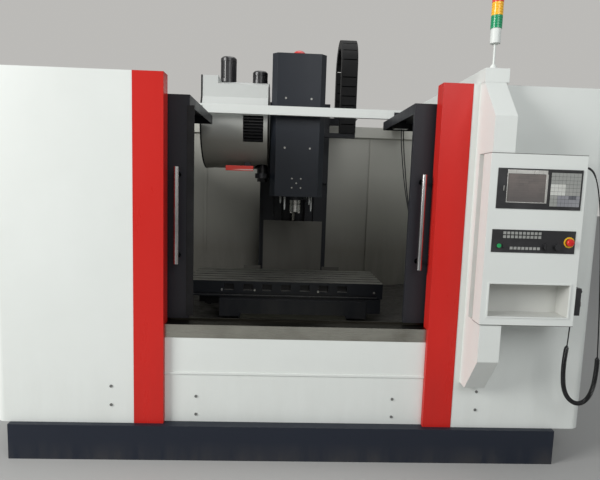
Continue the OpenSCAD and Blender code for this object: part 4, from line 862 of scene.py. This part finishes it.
for label, kind in (("key_rows", key_grey), ("white_keys", key_white),
                    ("lilac_keys", key_lilac), ("key_block", key_dark)):
    grown(label, "pendant", "unit_black", key_tree,
          [((x, key_y, z), ahead) for x, z, i, k in keys if key_kind(i, k) == kind],
          Cap_Width=0.019, Cap_Height=0.0186, Material=kind)


# Operator panel: membrane keys in rows, and a yellow ring round the red stop button, wide
# enough for the button to be pressed through it.
pad_pitch, pad_y = 0.021, -1.3909
pads = [(1.0685 + i * pad_pitch, 1.393 + k * 0.02) for i in range(10) for k in range(2)]
pads += [(1.1085 + i * pad_pitch, 1.333) for i in range(8)]
grown("panel_pads", "pendant", "unit_black", key_tree, [((x, pad_y, z), ahead) for x, z in pads],
      Cap_Width=0.0155, Cap_Height=0.0145, Cap_Depth=0.001, Material=key_grey)
ring_yellow = moulded("ring_yellow", (236, 190, 40), (214, 170, 40), 0.35)


def stop_ring(bm):
    x, z, back, front, outer, inner, steps = 1.42, 1.37, -1.3881, -1.3893, 0.029, 0.0208, 48
    corners = ((outer, back), (outer, front), (inner, front), (inner, back))
    turns = [k * math.tau / steps for k in range(steps)]
    tube(bm, [[bm.verts.new((x + radius * math.cos(a), y, z + radius * math.sin(a)))
               for radius, y in corners] for a in turns], closed=True)


piece("stop_ring", "pendant", "unit_black", ring_yellow, stop_ring)


# Spindle nose: two drive keys in the face, one on each side of the socket, which turn
# the tool holder.
def drive_keys(bm):
    face_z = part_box("spindle")[0].z
    axis_y, out, half = 0.17, 0.033, 0.008
    for x in (-out, out):
        block(bm, (x - half, axis_y - half, face_z - 0.009),
              (x + half, axis_y + half, face_z + 0.0005), 0.001)


piece("drive_keys", "spindle", "ground_steel", ground_steel, drive_keys)


# Coolant nozzles: jointed plastic hose, one moulded ball segment clipped into the next,
# with a tapered tip at the end.
def lathe(bm, foot, profile, axis="Z", sides=24):
    """Turns a profile of (radius, distance) about an axis through foot."""
    rings = []
    for radius, far in profile:
        ring = []
        for k in range(sides if radius > 1e-6 else 1):
            a = k * math.tau / sides
            across, up = radius * math.cos(a), radius * math.sin(a)
            p = (across, up, far) if axis == "Z" else (far, across, up)
            ring.append(bm.verts.new(Vector(foot) + Vector(p)))
        rings.append(ring)
    for a, b in zip(rings, rings[1:]):
        for k in range(sides):
            n = (k + 1) % sides
            corners = [a[k], a[n]] if len(a) > 1 else [a[0]]
            corners += [b[n], b[k]] if len(b) > 1 else [b[0]]
            if len(corners) > 2:
                bm.faces.new(corners)
    bmesh.ops.recalc_face_normals(bm, faces=list(bm.faces))


def nozzle_hoses(bm):
    top, stub, segment, tip = 1.56, 0.02, 0.014, 0.0022
    for x, y, long in ((-0.088, 0.095, 0.14), (-0.122, 0.13, 0.09), (0.112, 0.1, 0.095),
                       (0.13, 0.15, 0.15)):
        profile = [(0, 0), (0.011, 0), (0.011, -stub)]
        for k in range(int((long - 0.03) / segment)):
            z = -stub - k * segment
            profile += [(0.0058, z - 0.001), (0.0072, z - 0.004), (0.0076, z - 0.008),
                        (0.0066, z - 0.012), (0.0056, z - 0.0135)]
        profile += [(0.006, -long + segment), (0.004, -long), (tip, -long),
                    (tip, -long + 0.01), (0, -long + 0.01)]
        lathe(bm, (x, y, top), profile)


hose_grey = moulded("hose_grey", (206, 208, 206), (180, 182, 178), 0.3, 240.0)
hoses = piece("nozzle_hoses", "head", "ground_steel", hose_grey, nozzle_hoses, smooth=True)
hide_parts("coolant_nozzles")


# Cap of the tool release cylinder: a pressed red dome, which just shows over the cover.
def dome_cap(bm):
    radius, rim, rise = 0.0515, 0.012, 0.036
    arc = [math.radians(a) for a in range(0, 91, 10)]
    lathe(bm, (0, 0.17, 2.643), [(radius, 0)] + [
        (radius * math.cos(a), rim + rise * math.sin(a)) for a in arc], sides=40)


piece("dome_cap", "head", "dome_red", dome_red, dome_cap, smooth=True)


# Cord gland: a black moulded nut and dome on the pendant's side, with a tapered sleeve
# that keeps the cord from kinking where it enters.
def cord_gland(bm):
    lathe(bm, (1.503, -1.33, 1.767), [(0, 0), (0.0125, 0), (0.0125, 0.004), (0.011, 0.007),
                                      (0.0085, 0.011), (0.0062, 0.014), (0, 0.014)], "X")
    path = list(reversed(smooth_route(gland_lead, 4)))[:11]
    overlap, taper = 0.1, 0.00025
    for k, (a, b) in enumerate(zip(path, path[1:])):
        bar(bm, a, b + (b - a) * overlap, 0.0066 - k * taper, 0.00635 - k * taper, 16)


piece("cord_gland", "pendant", "cable_black", black_plastic, cord_gland, smooth=True)


# Work lamp: a flat dark housing under the roof of the right-hand door, with a frosted
# cover strip below.
frosted = moulded("frosted", (226, 230, 226), (212, 216, 212), 0.35, 200.0)
strip("lamp_cover", "right_door", "black_plastic", frosted, (0.698, -0.302, 2.052),
      (0.792, -0.248, 2.0555), 0.0012)


# Way cover wipers: a black rubber lip along the front edge of each sliding plate, which
# wipes the plate that it slides over.
for label, body, plate in (("rear_plate_wiper", "saddle", "way_cover_rear"),
                           ("mid_plate_wiper", "way_cover_mid", "way_cover_mid")):
    low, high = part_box(plate)
    half = high.x - 0.004
    strip(label, body, "cable_black", cable_black, (-half, low.y - 0.004, high.z - 0.0026),
          (half, low.y + 0.0002, high.z - 0.0002), 0.0006)


# Cabinet: louvred vents pressed into the door. The tree stacks flattened rods into a vent
# on every seat point.
slat_tree, gin = tree_of("vent_slats", Slat_Width=0.24, Slat_Count=9, Slat_Pitch=0.018)
slat = moved(slat_tree, rod(slat_tree, 12, 0.007, gin["Slat Width"]),
             Rotation=(0, math.pi / 2, 0), Scale=(1.0, 0.55, 1.0))
stack_line = node(slat_tree, "GeometryNodeMeshLine", {
    "Count": gin["Slat Count"], "Offset": combined(slat_tree, Z=gin["Slat Pitch"])},
    mode="OFFSET").outputs[0]
vent = spread(slat_tree, stack_line, slat)
finish_tree(slat_tree, spread(slat_tree, gin["Geometry"], vent), gin["Material"])
door_y = 1.6005
grown("cabinet_vents", "cabinet_door", "case_white", slat_tree,
      [((x, door_y, z), behind) for x in (-0.3, 0.3) for z in (0.52, 1.76)],
      Slat_Width=0.26, Material=case_white)


# Ball screws: ground steel shafts with a rolled thread, seen as fine rings along the axis
# of each screw.
thread, gin, gout = effect("rolled_thread", Along=(0, 0, 1), Pitch=0.012,
                           Crest=(0.6, 0.6, 0.6, 1), Root=(0.1, 0.1, 0.1, 1))
along = vector_calc(thread, "DOT_PRODUCT", place_in(thread), gin["Along"])["Value"]
wave = calc(thread, "PINGPONG", calc(thread, "DIVIDE", along, gin["Pitch"]), 1.0)
crest = ramped(thread, wave, 0.25, 0.5)
fill(thread, gout, {"Colour": mixed(thread, crest, gin["Root"], gin["Crest"]),
                    "Roughness": ramped(thread, crest, 0, 1, 0.5, 0.22), "Height": crest})
for name, way in (("x_screw", (1, 0, 0)), ("y_screw", (0, 1, 0)), ("z_screw", (0, 0, 1))):
    wear(name, finish_of(name + "_steel", thread, 0.002, metal=1.0, Along=way, Pitch=0.006,
                         Crest=(178, 176, 168), Root=(70, 66, 58)))


# Tool changer: a dark casting with its guard bar in red, which carries a pale painted
# highlight along a stripe, on a bracket below the pot's outlet.
guard, tree, paint, spot = variant("guard_paint", casting)
bar_back, bar_foot, highlight_z = 0.102, 1.7215, 1.731
on_bar = calc(tree, "MULTIPLY", calc(tree, "LESS_THAN", spot["Y"], bar_back),
              calc(tree, "GREATER_THAN", spot["Z"], bar_foot))
# Painted highlight: a pale stripe along the red bar, where light glints on it.
highlight_stripe = calc(tree, "MULTIPLY", calc(tree, "COMPARE", spot["Z"], highlight_z, 0.004),
              ramped(tree, spot["X"], -0.52, -0.42))
bar_red_and_highlight = mixed(tree, highlight_stripe, shade(250, 86, 76), shade(255, 216, 206))
tree.links.new(mixed(tree, on_bar, shade(52, 53, 56), bar_red_and_highlight), paint["Colour"])
wear("cam_box", guard)
